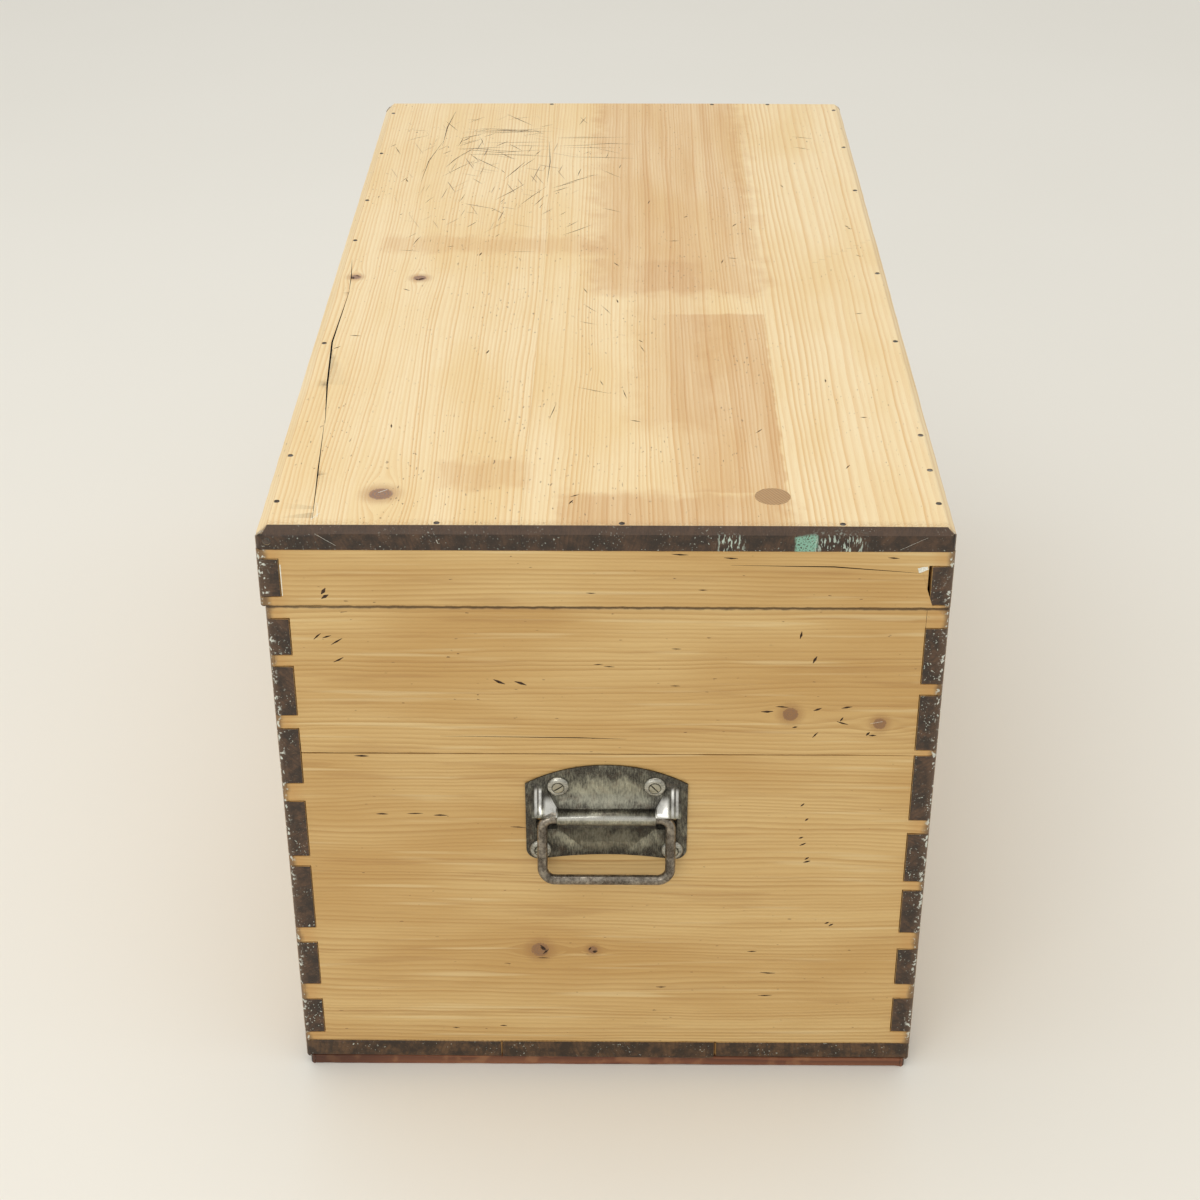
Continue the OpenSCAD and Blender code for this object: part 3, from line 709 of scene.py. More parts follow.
def green_paint(pine, ends):
    """A patch of green paint and pale smears on the near end of the lid."""
    near = pine.rise(pine.spot[X], LID_END - 22, LID_END - 12)
    patch = pine.box_mask(*GREEN_PATCH, 1.2, 3.0)
    chipped = pine.rise(pine.grit, 0.36, 0.46)
    ends = pine.blend(pine.times(near, pine.times(patch, chipped)), ends, tint(OLD_GREEN))
    smear = pine.noise(pine.scaled(pine.at, (1, 0.55, 0.16)), 1.0, detail=2)
    area = pine.box_mask(*NARROW_SMEAR, 3.0, 4.0)
    fan = pine.box_mask(*WIDE_SMEAR, 5.0, 6.0)
    marks = pine.times(pine.rise(smear, 0.54, 0.6), pine.most(area, pine.times(fan, 0.9)))
    return pine.blend(pine.times(near, pine.times(marks, 0.85)), ends, tint("#c3d2c2"))


def end_wall_pine(name, pith, seed, knots=(), spacing=3.6, sway=12.0):
    """An end board: honey-coloured, soft wavy grain across, warmer at the pins."""
    pine = Pine(name, Y, Z, pith, spacing=spacing, seed=seed, sway=sway, knots=knots)
    base = pine.wood(HONEY, HONEY_LINE, HONEY_DEEP, deep=0.62)
    shade = pine.rise(pine.grained(1 / 130, 1 / 7, seed + 2), 0.55, 0.72)
    base = pine.blend(pine.times(shade, 0.35), base, tint("#a87c46"))
    light = pine.rise(pine.grained(1 / 150, 1 / 5, seed + 8, detail=1), 0.6, 0.75)
    base = pine.blend(pine.times(light, 0.4), base, tint("#e4cc98"))
    base = pine.add_knots(base, WALL_HEART, WALL_RING)
    dash = pine.rise(pine.grained(1 / 7, 1 / 1.5, seed + 4, detail=1), 0.775, 0.81)
    base = pine.blend(pine.times(dash, 0.8), base, tint("#5a3d22"))
    front_pins = pine.rise(pine.spot[Y], BODY_FRONT + 21, BODY_FRONT + 7)
    back_pins = pine.rise(pine.spot[Y], BODY_BACK - 22, BODY_BACK - 8)
    pins = pine.most(front_pins, back_pins)
    base = pine.blend(pine.times(pins, 0.38), base, tint("#bf8c4e"))
    # dirt and paint scraps at the arrises, then a painted shadow in the seam under the lid
    base = painted_seam_shadow(pine, edge_grime(pine, base))
    ends = pine.end_grain(END_DARK, END_BROWN, flecks=0.5)
    ends = pine.blend(0.55, ends, tint("#8d6a44"))
    colour = pine.blend(pine.times(pine.end_mask(0.75, 0.95), pins), base, ends)
    return pine.done(colour, 0.44)


def long_wall_pine(name, pith, seed, knots=(), spacing=3.4):
    """A long wall board: honey-coloured outside, with dark stained tails at both ends."""
    pine = Pine(name, X, Z, pith, spacing=spacing, seed=seed, sway=13.0, knots=knots)
    base = pine.wood(HONEY, HONEY_LINE, HONEY_DEEP, deep=0.65)
    base = pine.add_knots(base, WALL_HEART, WALL_RING)
    # dirt and paint scraps at the arrises, then a painted shadow in the seam under the lid
    base = painted_seam_shadow(pine, edge_grime(pine, base))
    ends = pine.end_grain(END_DARK, END_BROWN, flecks=1.0)
    ends = edge_grime(pine, ends)
    colour = pine.blend(pine.end_mask(), base, ends)
    return pine.done(colour, 0.46)


def bottom_pine(name, pith, seed):
    """A bottom board: plain inside, dark at the ends and dirty underneath."""
    pine = Pine(name, X, Y, pith, spacing=3.8, seed=seed, sway=11.0)
    base = pine.wood("#d3b27c", "#a67c48", HONEY_DEEP)
    dirt = pine.rise(pine.patch, 0.3, 0.65, 0.35, 0.8)
    under = pine.rise(pine.spot[Z], BOTTOM_FOOT + 5, BOTTOM_FOOT + 2)
    base = pine.blend(pine.times(under, dirt), base, tint("#8b6d4a"))
    base = edge_grime(pine, base)
    ends = pine.end_grain("#35281c", "#644930", flecks=0.35)
    colour = pine.blend(pine.end_mask(), base, ends)
    return pine.done(colour, 0.55)


def runner_pine(name, seed):
    """A runner under the bottom: stained reddish brown and rubbed pale at its ends."""
    pine = Pine(name, Y, X, (700, -60), spacing=3.2, seed=seed, sway=8.0)
    base = pine.wood("#7b4a33", "#4c2c20", "#8c5a3d")
    rubbed = pine.rise(pine.noise(pine.at, 1 / 16, detail=3), 0.5, 0.66)
    base = pine.blend(pine.times(rubbed, 0.45), base, tint("#a7764f"))
    # painted shade: the runner darkens towards its front end
    painted_front_shade = pine.rise(pine.spot[Y], BODY_FRONT + 97, BODY_FRONT + 4, 0, 0.6)
    base = pine.blend(painted_front_shade, base, tint("#3a241b"))
    ends = pine.end_grain("#2e2019", "#5a3d2b", flecks=0.2)
    return pine.done(pine.blend(pine.end_mask(), base, ends), 0.6)


def plug_pine():
    """The round plug shows end grain in straight slanting lines."""
    pine = Recipe("plug_wood")
    at = pine.in_millimetres()
    x, y, _ = pine.parts(at)
    wave = pine.times(pine.less(pine.noise(at, 1 / 12, detail=1), 0.5), 1.6)
    turn = pine.over(pine.plus(pine.plus(pine.times(x, 0.72), pine.times(y, 0.69)), wave), 1.75)
    line = pine.rise(pine.math("PINGPONG", turn, 0.5), 0.12, 0.42)
    grit = pine.noise(at, 1.3, detail=2)
    base = pine.blend(line, tint("#8f6c45"), tint("#cfa876"))
    base = pine.blend(pine.times(pine.rise(grit, 0.45, 0.7), 0.4), base, tint("#a77e51"))
    pine.colour(base)
    pine.bump(pine.plus(line, pine.times(grit, 0.6)), 0.15 * MM)
    return pine.finish(roughness=pine.rise(grit, 0.3, 0.7, 0.5, 0.68))


def plain_wood(name, code, darker, size=0.8):
    """Raw wood, filler and painted shade inside cuts."""
    stuff = Recipe(name)
    at = stuff.in_millimetres()
    grit = stuff.noise(at, size, detail=3)
    stuff.colour(stuff.blend(stuff.rise(grit, 0.35, 0.65), tint(code), tint(darker)))
    stuff.bump(grit, 0.2 * MM)
    return stuff.finish(roughness=stuff.rise(grit, 0.3, 0.7, 0.65, 0.85))


# ---------------------------------------------------------------- metal

def metal(name, dark, mid, bright, shine_from, shine_to, rough, rust=0.0, brush=(0.5, 0.12, 2.2),
          shade=None, highlights_and_polish=None):
    """Aged metal: rubbed bright patches over a dark finish, with pits and a little rust."""
    steel = Recipe(name)
    at = steel.in_millimetres()
    cloud = steel.noise(at, 1 / 11, detail=4, roughness=0.6)
    fine = steel.noise(at, 1.1, detail=3, roughness=0.6)
    lines = steel.noise(steel.scaled(at, brush), 1.0, detail=3)
    rubbed = steel.plus(steel.times(cloud, 0.55), steel.times(lines, 0.45))
    # a shade function paints light and shade into the rubbed bright patches
    if shade:
        rubbed = steel.plus(rubbed, shade(steel, at))
    rubbed = steel.rise(rubbed, shine_from, shine_to)
    base = steel.blend(steel.rise(fine, 0.35, 0.65), tint(dark), tint(mid))
    base = steel.blend(rubbed, base, tint(bright))
    pits = steel.rise(fine, 0.66, 0.74)
    base = steel.blend(steel.times(pits, 0.5), base, tint(dark))
    if rust:
        spots = steel.rise(steel.noise(at, 1 / 6, detail=4), 0.52, 0.68)
        base = steel.blend(steel.times(spots, rust), base, tint("#6b4a33"))
    gloss = steel.rise(rubbed, 0.0, 1.0, rough[1], rough[0])
    # painted highlights: a near-white colour and a little less roughness where the highlights mask says
    if highlights_and_polish:
        highlight = steel.times(highlights_and_polish(steel, at), steel.rise(cloud, 0.3, 0.55, 0.45, 1.0))
        base = steel.blend(highlight, base, tint("#dddbd3"))
        gloss = steel.less(gloss, steel.times(highlight, 0.1))
    steel.colour(base)
    steel.bump(steel.less(steel.plus(steel.times(cloud, 0.5), steel.times(lines, 0.5)), pits), 0.12 * MM)
    return steel.finish(metallic=0.88, roughness=gloss)


def handle_place(steel, at):
    """The place on a handle: across, up from the bail's axis and out of the wall, in millimetres."""
    x, y, z = steel.parts(at)
    across = steel.math("ABSOLUTE", steel.less(y, HANDLE_Y))
    return across, steel.less(z, AXIS_Z), steel.less(steel.math("ABSOLUTE", x), END_FACE)


# Ovals of painted light on the plate's two flat fields: half the width, height of the middle
# above the bail's axis, half the height
UPPER_FIELD, LOWER_FIELD = (44, 21, 19), (46, -22, 13)


def out_of_oval(steel, u, v, field):
    """How far out a place lies: 0 in the middle of an oval field and 1 at its edge."""
    half_width, middle, half_height = field
    return steel.length(steel.over(u, half_width), steel.over(steel.less(v, middle), half_height))


def plate_light_and_shade(steel, at):
    """The plate is painted lighter in the middle of its fields and on its raised parts, and darker at its edges:
    painted light and shade, with dark patina at the edges.
    """
    u, v, w = handle_place(steel, at)
    upper = steel.rise(out_of_oval(steel, u, v, UPPER_FIELD), 1.15, 0.3)
    lower = steel.rise(out_of_oval(steel, u, v, LOWER_FIELD), 1.25, 0.2)
    fields = steel.times(steel.most(upper, lower), steel.rise(w, 5, 2.5))
    proud = steel.rise(w, 5, 11)
    # painted light in the middle of the fields and on the raised parts; the rest is painted darker
    total = steel.plus(steel.times(fields, 0.24), steel.times(proud, 0.2))
    return steel.less(total, 0.2)


# Crests of the two ridges at each end of the hood, across from the middle
RIDGES = (50.5, 53.8)
# Places given painted highlights, which hands have also polished: across from the middle, or height above the
# bail's axis
HOOD_SHOULDER, BARREL_TOP, BARREL_FOOT = 42.5, 4.2, -9


def plate_highlights_and_polish(steel, at):
    """Painted highlights on the ridges, the shoulders of the hood and the top of the barrel, which hands have also
    polished.
    """
    u, v, w = handle_place(steel, at)
    raised = steel.rise(w, 2.4, 4)
    ridges = None
    for crest in RIDGES:
        near = steel.rise(steel.math("ABSOLUTE", steel.less(u, crest)), 1.5, 0.5)
        ridges = near if ridges is None else steel.most(ridges, near)
    ridges = steel.times(ridges, steel.rise(v, 4, 9))
    shoulder = steel.rise(steel.math("ABSOLUTE", steel.less(u, HOOD_SHOULDER)), 6.5, 3.0)
    shoulder = steel.times(shoulder, steel.times(steel.rise(v, 22, 15), steel.rise(v, 3, 6)))
    band = steel.rise(steel.math("ABSOLUTE", steel.less(v, BARREL_TOP)), 2.4, 0.8)
    band = steel.times(band, steel.rise(u, 40, 36))
    edge = steel.rise(steel.math("ABSOLUTE", steel.less(v, BARREL_FOOT)), 1.4, 0.6)
    edge = steel.times(edge, steel.rise(u, 39, 37))
    total = steel.most(steel.most(ridges, shoulder), steel.times(steel.most(band, edge), 0.55))
    return steel.times(total, raised)


def head_shade(steel, at):
    """Painted shade keeps the slots and the seat round a screw's head dark."""
    _, _, w = handle_place(steel, at)
    return steel.rise(w, 4.75, 4.3, 0.1, -0.6)


# ---------------------------------------------------------------- building the wooden pieces

def keep_inside(piece, node):
    """Brings any point that strayed back inside the CAD board."""
    low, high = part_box(node)
    for point in piece.data.vertices:
        point.co = Vector(min(max(c, a), b) for c, a, b in zip(point.co, low, high))


def scribe_beside_arrises(piece, node, inset=2.5 * MM):
    """Lines just inside each arris, so that dents there don't drag the broad faces in."""
    low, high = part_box(node)
    cuts = []
    for axis in (X, Y, Z):
        if high[axis] - low[axis] > 4 * inset:
            for place in (low[axis] + inset, high[axis] - inset):
                cuts.append((AXES[axis] * place, AXES[axis]))
    scribe(piece, cuts)


def board(node, wood, cutters=(), arris=0.6 * MM, step=14 * MM, along=X, swell=0.2 * MM,
          dents=0.9 * MM, rounded=None, worn=None, worn_width=1.8 * MM, guard=True):
    """A board worked up from its CAD shape: rounded, worn, then split and holed."""
    piece = node_copy(node + "_wood", node)
    shortest = 6 * MM
    if guard:
        scribe_beside_arrises(piece, node)
        shortest = 2 * MM
    if worn:
        round_arrises(piece, worn_width, steps=3, shortest=shortest, wanted=worn)
    round_arrises(piece, arris, shortest=shortest, wanted=rounded)
    scribe_along(piece, along, step)
    age(piece, swell, dents)
    keep_inside(piece, node)
    use_modifier(piece, "TRIANGULATE")
    piece.data.materials.append(wood)
    carve(piece, [cutter() for cutter in cutters])
    smooth(piece, 14)
    use_modifier(piece, "WEIGHTED_NORMAL", weight=95, keep_sharp=True)
    return stand_for(piece, node)


def on_lid(*places):
    """Points on the lid's top, from x and y in millimetres."""
    return [Vector((x, y, LID_TOP)) * MM for x, y in places]


def on_end(*places):
    """Points on the near end of the body, from y and z in millimetres."""
    return [Vector((END_FACE, y, z)) * MM for y, z in places]


def on_lid_end(*places):
    """Points on the near end of the lid, from y and z in millimetres."""
    return [Vector((LID_END, y, z)) * MM for y, z in places]


# Knots in the near boards: two places on the face, size, and how far the grain is pushed aside
FRONT_LID_KNOTS = ((440, -164, 9, 2.6), (23, -170, 6, 2.6), (21, -228, 5, 2.2))
UPPER_END_KNOTS = ((138, 349, 6, 2.8), (205, 341, 5, 2.8))
LOWER_END_KNOTS = ((-52, 123, 7, 3.0), (-10, 123, 4, 2.5))


# Nearly black painted shade lines the splits and gaps; raw wood and white filler are their own colours.
painted_gap_shade = plain_wood("painted_gap_shade", "#20150d", "#33231a")
raw_cut = plain_wood("raw_cut", "#5a4029", "#3a281b")
filler = plain_wood("white_filler", "#efeee2", "#d8d6c4")


def crack(points, width=1.2, depth=7.0, axis=Z, dressing=None, blunt=False):
    """Something to call later that makes a cutter (sizes in millimetres), lined with painted shade unless given
    another dressing.
    """
    return lambda: worm(points, width * MM, depth * MM, axis, dressing or painted_gap_shade, blunt)


def fit_in(centre, reach, low, high):
    """The centre, moved so that a mark of this reach stays between low and high."""
    return min(max(centre, low + reach), high - reach)


def strew(seed, where, zone, count, length, turns, width, depth=1.4, axis=Z, dressing=None):
    """Seeded marks inside a zone of a face, with the ranges of their lengths, turns and widths."""
    lot = random.Random(seed)
    (low_a, low_b), (high_a, high_b) = zone
    made = []
    for _ in range(count):
        reach = lot.uniform(*length) / 2
        turn = math.radians(lot.uniform(*turns))
        da, db = math.cos(turn) * reach, math.sin(turn) * reach
        a = fit_in(lot.uniform(low_a, high_a), abs(da), low_a, high_a)
        b = fit_in(lot.uniform(low_b, high_b), abs(db), low_b, high_b)
        bow = lot.uniform(-0.06, 0.06)
        places = ((a - da, b - db), (a + bow * db, b - bow * da), (a + da, b + db))
        made.append(crack(where(*places), lot.uniform(*width), depth, axis, dressing or raw_cut))
    return made


def knot_holes(where, knots, axis):
    """The broken heart of each knot: a few short gouges over its middle."""
    made = []
    for number, (a, b, size, _) in enumerate(knots):
        zone = ((a - size, b - size * 0.7), (a + size, b + size * 0.7))
        made += strew(90 + number, where, zone, 3, (size * 0.7, size * 1.2), (-50, 60), (1.8, 3.2), 1.6, axis)
    return made


# Depth of a scratch in millimetres, and turns in any direction in degrees
SCRATCH = 0.5
ANY_TURN = (0, 180)


def lid_front_marks():
    made = [
        crack(on_lid((480, -209), (410, -214), (317, -220)), 1.0, 5),
        crack(on_lid((322, -219), (250, -226), (166, -232), (54, -230)), 1.4, 5),
        crack(on_lid((58, -230), (20, -232), (-22, -236)), 0.8, 3),
        crack(on_lid((476, -206), (454, -209)), 3.2, 0.5, dressing=filler),
        crack(on_lid((440, -212), (405, -215)), 2.2, 0.4, dressing=filler),
        crack(on_lid((486, -214), (470, -205)), 3.6, 0.6, dressing=filler),
        crack(on_lid((438, -166), (433, -160)), 4.5, 0.5, dressing=filler),
        crack(on_lid_end((-207, 502), (-192, 492)), 1.3, 0.7, X, filler),
        crack(on_lid_end((-120, 497), (-119, 494)), 2.6, 0.6, X, filler),
    ]
    made += knot_holes(on_lid, FRONT_LID_KNOTS[1:], Z)
    made += strew(3, on_lid, ((-340, -236), (430, -90)), 9, (5, 10), ANY_TURN, (1.0, 1.5))
    # the worn corner: long strokes straight across, a knot of short ones, then slanting strokes both ways
    made += strew(11, on_lid, ((-400, -160), (-308, -62)), 13, (45, 92), (76, 102), (0.7, 1.5), SCRATCH)
    made += strew(12, on_lid, ((-405, -160), (-325, -85)), 8, (16, 38), (95, 155), (0.8, 1.4), SCRATCH)
    made += strew(13, on_lid, ((-485, -244), (-270, -75)), 7, (20, 50), (10, 44), (0.7, 1.3), SCRATCH)
    made += strew(14, on_lid, ((-345, -170), (-88, -64)), 9, (26, 66), (-34, -12), (0.7, 1.3), SCRATCH)
    made += strew(15, on_lid, ((-465, -206), (-230, -64)), 3, (100, 130), (-6, 4), (0.8, 1.1), SCRATCH)
    return made + strew(41, on_lid, ((-460, -232), (-30, -64)), 30, (10, 34), ANY_TURN, (0.5, 0.9), SCRATCH)


def lid_middle_marks():
    made = strew(16, on_lid, ((-372, -58), (-288, 24)), 6, (40, 80), (80, 100), (0.8, 1.0), SCRATCH)
    made += strew(18, on_lid, ((-280, -58), (-70, -18)), 4, (15, 50), (-60, -40), (1.0, 1.3), SCRATCH)
    made += strew(17, on_lid, ((-440, -56), (-100, 10)), 12, (10, 34), ANY_TURN, (0.5, 0.9), SCRATCH)
    made += strew(23, on_lid, ((40, -52), (330, 60)), 9, (10, 30), ANY_TURN, (0.5, 0.9), SCRATCH)
    return made + strew(24, on_lid, ((-240, -44), (460, 120)), 13, (5, 11), ANY_TURN, (0.9, 1.4), 1.2)


def lid_back_marks():
    made = [
        crack(on_lid_end((173, 503), (174, 489)), 1.1, 0.8, X, filler),
        crack(on_lid_end((210, 490), (229, 500)), 0.9, 0.6, X, filler),
    ]
    # a slanting row of stitch-like nicks
    start, run, nicks, half = Vector((-17, 187)), Vector((-56, 55)), 9, 2.7
    for number in range(nicks):
        spot = start + run * number / (nicks - 1)
        nick = on_lid((spot.x, spot.y - half), (spot.x, spot.y + half))
        made.append(crack(nick, 1.7, 1.1, dressing=raw_cut))
    made += strew(31, on_lid, ((-392, 166), (-250, 212)), 2, (18, 36), (64, 76), (0.9, 2.0), 1.1)
    return made + strew(32, on_lid, ((-344, 168), (430, 230)), 8, (5, 8), ANY_TURN, (1.0, 1.5), 1.1)


def tail_fillers():
    """White filler along the inner edges of some tails, and gaps lined with painted shade beside others."""
    front, back = BODY_FRONT + LONG_WALL_T, BODY_BACK - LONG_WALL_T
    return [
        crack(on_end((front, 388), (front, 347)), 2.0, 0.7, X, filler, blunt=True),
        crack(on_end((front, 321), (front, 330), (front - 8, 330)), 1.5, 0.6, X, filler),
        crack(on_end((back, 440), (back, 414)), 2.0, 5, X),
        crack(on_end((back, 378), (back, 352)), 1.6, 0.6, X, filler),
        crack(on_end((back - 4, 343), (back + 11, 342)), 1.8, 0.6, X, filler),
    ]


def end_marks_upper():
    made = [
        crack(on_end((-124, 328), (-20, 327), (16, 326)), 0.9, 4, X),
        crack(on_end((139, 351), (138, 346)), 4.0, 1.0, X, filler),
        crack(on_end((207, 343), (198, 341)), 3.2, 0.8, X, filler),
    ]
    made += tail_fillers()
    made += strew(51, on_end, ((-214, 376), (-192, 424)), 4, (7, 11), (-8, 96), (1.4, 1.8), 1.6, X)
    made += strew(52, on_end, ((-132, 368), (-58, 386)), 2, (8, 10), (-28, 20), (2.4, 3.2), 1.6, X)
    made += strew(53, on_end, ((130, 394), (158, 428)), 2, (6, 7), (0, 90), (1.6, 2.6), 1.6, X)
    made += strew(54, on_end, ((116, 328), (226, 356)), 10, (4, 10), (-30, 60), (1.2, 2.4), 1.6, X)
    return made + strew(55, on_end, ((-20, 348), (80, 408)), 4, (7, 9), (-4, 4), (0.9, 1.0), 1.6, X)


def end_marks_lower():
    front, back = BODY_FRONT + LONG_WALL_T, BODY_BACK - LONG_WALL_T
    made = [
        crack(on_end((front, 120), (front, 84)), 1.4, 0.6, X, filler),
        crack(on_end((front, 303), (front, 286)), 1.6, 0.6, X, filler),
        crack(on_end((back, 240), (back, 196)), 1.3, 3, X),
        crack(on_end((back, 130), (back, 104)), 1.5, 0.6, X, filler),
        crack(on_end((back + 1, 91), (back + 13, 91)), 1.8, 0.6, X, filler),
        crack(on_end((62, 283), (71, 282)), 1.6, 1.0, X, raw_cut),
    ]
    made += knot_holes(on_end, LOWER_END_KNOTS, X)
    made += strew(61, on_end, ((-216, 228), (-106, 311)), 4, (8, 18), (-4, 4), (1.2, 2.0), 1.6, X)
    made += strew(62, on_end, ((149, 194), (160, 269)), 6, (4, 7), (0, 90), (1.5, 2.0), 1.6, X)
    made += strew(63, on_end, ((173, 142), (181, 157)), 2, (5, 6), (10, 80), (1.8, 1.8), 1.6, X)
    return made + strew(64, on_end, ((-160, 30), (200, 262)), 10, (6, 14), (-4, 4), (0.9, 1.6), 1.6, X)


def on_rim(*places):
    """Points on the near end of the lid's rim, from y and z in millimetres."""
    return [Vector((RIM_FACE, y, z)) * MM for y, z in places]


def rim_marks():
    made = [
        crack(on_rim((90, 477), (164, 476), (226, 471)), 1.1, 6, X),
        crack(on_rim((160, 476), (200, 473)), 2.0, 0.6, X, filler),
        crack(on_rim((224, 473), (231, 475)), 6.0, 0.7, X, filler, blunt=True),
        crack(on_rim((178, 487), (236, 487)), 2.2, 0.8, X, filler),
        crack(on_rim((-233, 476), (-233, 450)), 2.0, 0.7, X, filler, blunt=True),
    ]
    made += strew(71, on_rim, ((-205, 448), (-188, 457)), 2, (6, 7), (20, 80), (2.8, 3.4), 1.4, X)
    made += strew(72, on_rim, ((-180, 482), (210, 486)), 3, (8, 14), (-10, 0), (1.4, 1.6), 1.4, X)
    return made + strew(73, on_rim, ((-30, 450), (148, 464)), 2, (6, 8), (-3, 3), (1.0, 1.2), 1.4, X)


def off_joints(*places):
    """Arrises away from the joints at these y places (millimetres)."""
    def wanted(a, b):
        return all(min(abs(a.y / MM - y), abs(b.y / MM - y)) > 0.5 for y in places)
    return wanted


def top_arris(a, b):
    """The arris that runs along the top of a body board, at the lid's joint."""
    return min(a.z, b.z) > (BODY_TOP - 0.2) * MM


# Nearly all the points of a tailed board lie on its arrises, so its swelling and dents are kept small
TAILED = {"swell": 0.1 * MM, "dents": 0.3 * MM}


# The bottom boards' outer edges and the runners are worn more than the rest
BATTERED = {"dents": 1.6 * MM, "arris": 1.2 * MM}
RUNNER = {"along": Y, "swell": 0.1 * MM, "dents": 0.8 * MM, "arris": 1.2 * MM}
# Lines in y where the lid's boards meet, whose arrises stay sharp
LID_JOINTS = (-60, 135)


def build_lid():
    front = lid_pine("lid_front_wood", (-700, 300), 1.0, knots=FRONT_LID_KNOTS)
    board("lid_board_front", front, lid_front_marks(), swell=0.06 * MM,
          rounded=off_joints(LID_JOINTS[0]), guard=False)
    board("lid_board_middle", lid_pine("lid_middle_wood", (900, 250), 2.0), lid_middle_marks(),
          swell=0.06 * MM, rounded=off_joints(*LID_JOINTS), guard=False)
    back = lid_pine("lid_back_wood", (420, 330), 3.0, spacing=4.4)
    board("lid_board_back", back, lid_back_marks(), swell=0.12 * MM,
          rounded=off_joints(LID_JOINTS[1]), guard=False)
    right = end_wall_pine("rim_right_wood", (-900, 80), 4.0, spacing=3.2, sway=6.0)
    board("lid_rim_right", right, rim_marks(), along=Y)
    board("lid_rim_left", end_wall_pine("rim_left_wood", (1300, -80), 5.0, spacing=3.4, sway=7.0), along=Y)
    board("lid_rim_front", long_wall_pine("rim_front_wood", (-800, 60), 6.0), **TAILED)
    board("lid_rim_back", long_wall_pine("rim_back_wood", (900, -60), 7.0), **TAILED)


def build_ends():
    wood = end_wall_pine("right_upper_wood", (980, 200), 8.0, knots=UPPER_END_KNOTS)
    board("right_end_upper_board", wood, end_marks_upper(), along=Y, worn=top_arris)
    wood = end_wall_pine("right_lower_wood", (-420, 260), 9.0, knots=LOWER_END_KNOTS)
    board("right_end_lower_board", wood, end_marks_lower(), along=Y)
    wood = end_wall_pine("left_upper_wood", (900, -180), 10.0, knots=((-90, 372, 7, 2.6),))
    board("left_end_upper_board", wood, along=Y, worn=top_arris)
    wood = end_wall_pine("left_lower_wood", (-380, -240), 11.0, knots=((60, 170, 8, 2.6), (-150, 90, 5, 2.6)))
    board("left_end_lower_board", wood, along=Y)


def build_long_walls():
    wood = long_wall_pine("front_upper_wood", (800, 260), 12.0, knots=((180, 350, 9, 2.6),))
    board("front_upper_board", wood, worn=top_arris, **TAILED)
    wood = long_wall_pine("front_lower_wood", (-500, 280), 13.0,
                          knots=((-210, 140, 8, 2.6), (330, 90, 6, 2.4)))
    board("front_lower_board", wood, **TAILED)
    wood = long_wall_pine("back_upper_wood", (850, -280), 14.0, knots=((-120, 330, 8, 2.6),))
    board("back_upper_board", wood, worn=top_arris, **TAILED)
    wood = long_wall_pine("back_lower_wood", (-450, -260), 15.0, knots=((240, 150, 9, 2.6),))
    board("back_lower_board", wood, **TAILED)


def build_bottom():
    board("bottom_board_front", bottom_pine("bottom_front_wood", (-600, 120), 16.0), **BATTERED)
    board("bottom_board_middle", bottom_pine("bottom_middle_wood", (500, 140), 17.0))
    board("bottom_board_back", bottom_pine("bottom_back_wood", (800, 130), 18.0), **BATTERED)
    board("right_runner", runner_pine("right_runner_wood", 19.0), **RUNNER)
    board("left_runner", runner_pine("left_runner_wood", 20.0), **RUNNER)
    board("lid_plug", plug_pine(), arris=0.3 * MM, step=30 * MM, swell=0.1 * MM, dents=0.2 * MM, guard=False)


def dress(node, material):
    """Gives a CAD node that is shown as it is its material."""
    piece = frame["nodes"][node]
    piece.data.materials.clear()
    piece.data.materials.append(material)


def steel_piece(node, steel, width=0.35 * MM, angle=40):
    """A metal piece worked up from its CAD shape with eased edges."""
    piece = node_copy(node + "_steel", node)
    ease(piece, width, 2, angle)
    keep_inside(piece, node)
    piece.data.materials.append(steel)
    smooth(piece, 38)
    return stand_for(piece, node)


def on_handle(u, v, w):
    """A point of the near handle: across, up from the bail's axis and out of the wall, in millimetres."""
    return Vector((END_FACE + w, HANDLE_Y + u, AXIS_Z + v)) * MM


# The hood's slope, from over the bail's axis up to the upper screws: height above it, and out of the wall
SLOPE_FOOT, SLOPE_HEAD = (4.5, 11.2), (28, 2.3)
# Grooves between the pressed ridges of a hood end: place across, width and depth
HOOD_GROOVES = ((48.6, 1.7, 1.2), (52.2, 1.7, 1.4))


def slope_point(u, part):
    """A point on the hood's slope, from its foot (0) to its head (1)."""
    v, w = (a + (b - a) * part for a, b in zip(SLOPE_FOOT, SLOPE_HEAD))
    return on_handle(u, v, w)


def proud_of_plate(a, b):
    """Edges that stand well out of the plate's flat part."""
    return min(a.x, b.x) > (END_FACE + 3.0) * MM


def on_plate_face(a, b):
    """Edges in the face of the plate's flat part, which are its outline and its holes."""
    face = (END_FACE + PLATE_T) * MM
    return max(abs(a.x - face), abs(b.x - face)) < 0.05 * MM


def merge_slivers(piece):
    edit_all(piece, merge(0.01), lambda: bpy.ops.mesh.dissolve_degenerate(threshold=0.01 * MM))


def handle_plate(steel):
    """The near handle's plate: soft shoulders, an eased outline, and grooves down the pressed ends."""
    node = "right_handle_plate"
    piece = node_copy(node + "_steel", node)
    for width, wanted in ((0.8 * MM, proud_of_plate), (0.4 * MM, on_plate_face)):
        round_arrises(piece, width, steps=3, shortest=0.3 * MM, wanted=wanted)
        merge_slivers(piece)
    piece.vertex_groups.clear()
    piece.data.materials.append(steel)
    use_modifier(piece, "TRIANGULATE")
    grooves = []
    for side in (1, -1):
        for across, width, depth in HOOD_GROOVES:
            line = [slope_point(side * across, part) for part in (0.02, 0.5, 0.95)]
            grooves.append(worm(line, width * MM, depth * MM, X, steel))
    carve(piece, grooves)
    keep_inside(piece, node)
    smooth(piece, 48)
    return piece


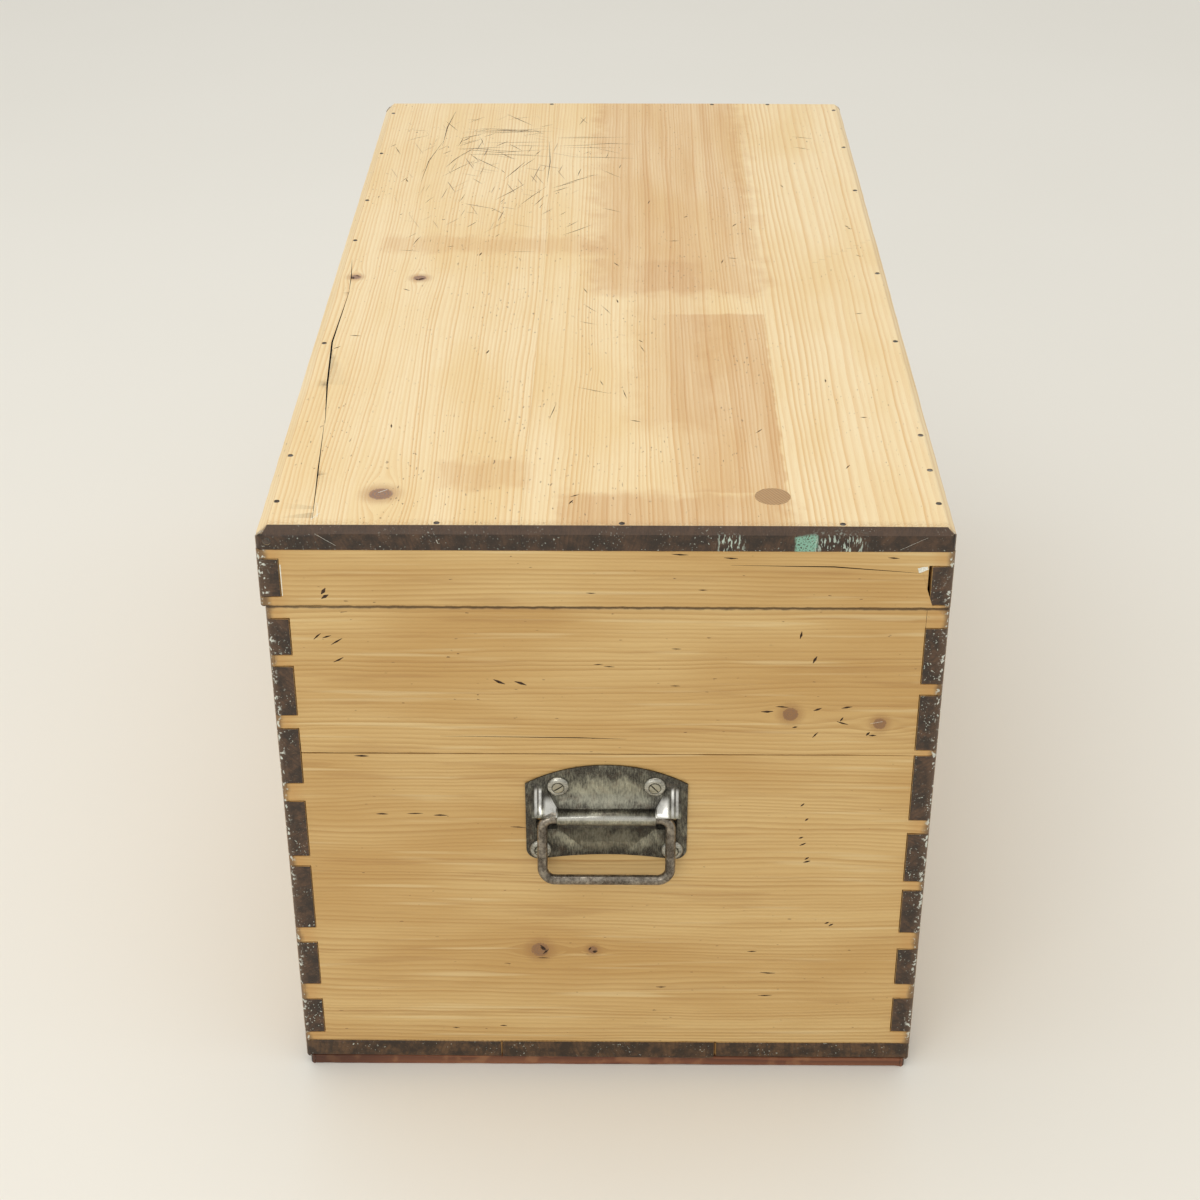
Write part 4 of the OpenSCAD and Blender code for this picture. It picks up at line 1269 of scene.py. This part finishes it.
def other_hand(piece, name):
    """The same piece turned half round to the far end of the chest, with its own mesh."""
    twin = piece.copy()
    twin.data = piece.data.copy()
    twin.name = twin.data.name = name
    bpy.context.scene.collection.objects.link(twin)
    middle = (0, HANDLE_Y * MM, 0)
    edit_all(twin, lambda: bpy.ops.transform.rotate(value=math.pi, orient_axis="Z", center_override=middle))
    return twin


def build_metal():
    plate = metal("pressed_steel", "#37342f", "#565249", "#aca995", 0.22, 0.72, (0.27, 0.46), 0.12,
                  brush=(0.5, 0.9, 0.25), shade=plate_light_and_shade, highlights_and_polish=plate_highlights_and_polish)
    rod = metal("bail_rod", "#463f37", "#696156", "#a89e8e", 0.36, 0.74, (0.24, 0.4), 0.1,
                brush=(0.4, 0.4, 0.4))
    nickel = metal("cup_nickel", "#625f55", "#979387", "#c3c0b3", 0.34, 0.64, (0.24, 0.38))
    heads = metal("screw_head", "#2f2b25", "#7f7a68", "#a8a390", 0.4, 0.6, (0.3, 0.5), 0.1, shade=head_shade)
    hinge = metal("hinge_steel", "#3a3733", "#77736a", "#aaa698", 0.42, 0.62, (0.32, 0.5), 0.3)
    leaf_screws = metal("hinge_screw", "#3a3631", "#8d887a", "#bdb8a8", 0.4, 0.6, (0.3, 0.5), 0.2)
    nails = metal("nail_iron", "#34302d", "#6a645d", "#a39d93", 0.42, 0.7, (0.4, 0.6), 0.25)
    near = handle_plate(plate)
    far = other_hand(near, "left_handle_plate_steel")
    stand_for(near, "right_handle_plate")
    stand_for(far, "left_handle_plate")
    for side in ("right", "left"):
        steel_piece(side + "_bail", rod, 0.2 * MM)
        steel_piece(side + "_cup_washers", nickel, 0.2 * MM)
        steel_piece(side + "_handle_screws", heads, 0.15 * MM)
        steel_piece(side + "_hinge_body_leaf", hinge, 0.3 * MM)
        steel_piece(side + "_hinge_lid_leaf", hinge, 0.3 * MM)
        steel_piece(side + "_hinge_pin", hinge, 0.2 * MM)
    for node in ("hinge_body_screws", "hinge_lid_screws"):
        dress(node, leaf_screws)
    for node in ("lid_nails", "bottom_nails", "runner_nails"):
        dress(node, nails)


build_lid()
build_ends()
build_long_walls()
build_bottom()
build_metal()

set_camera()
set_light()
lay_floor()
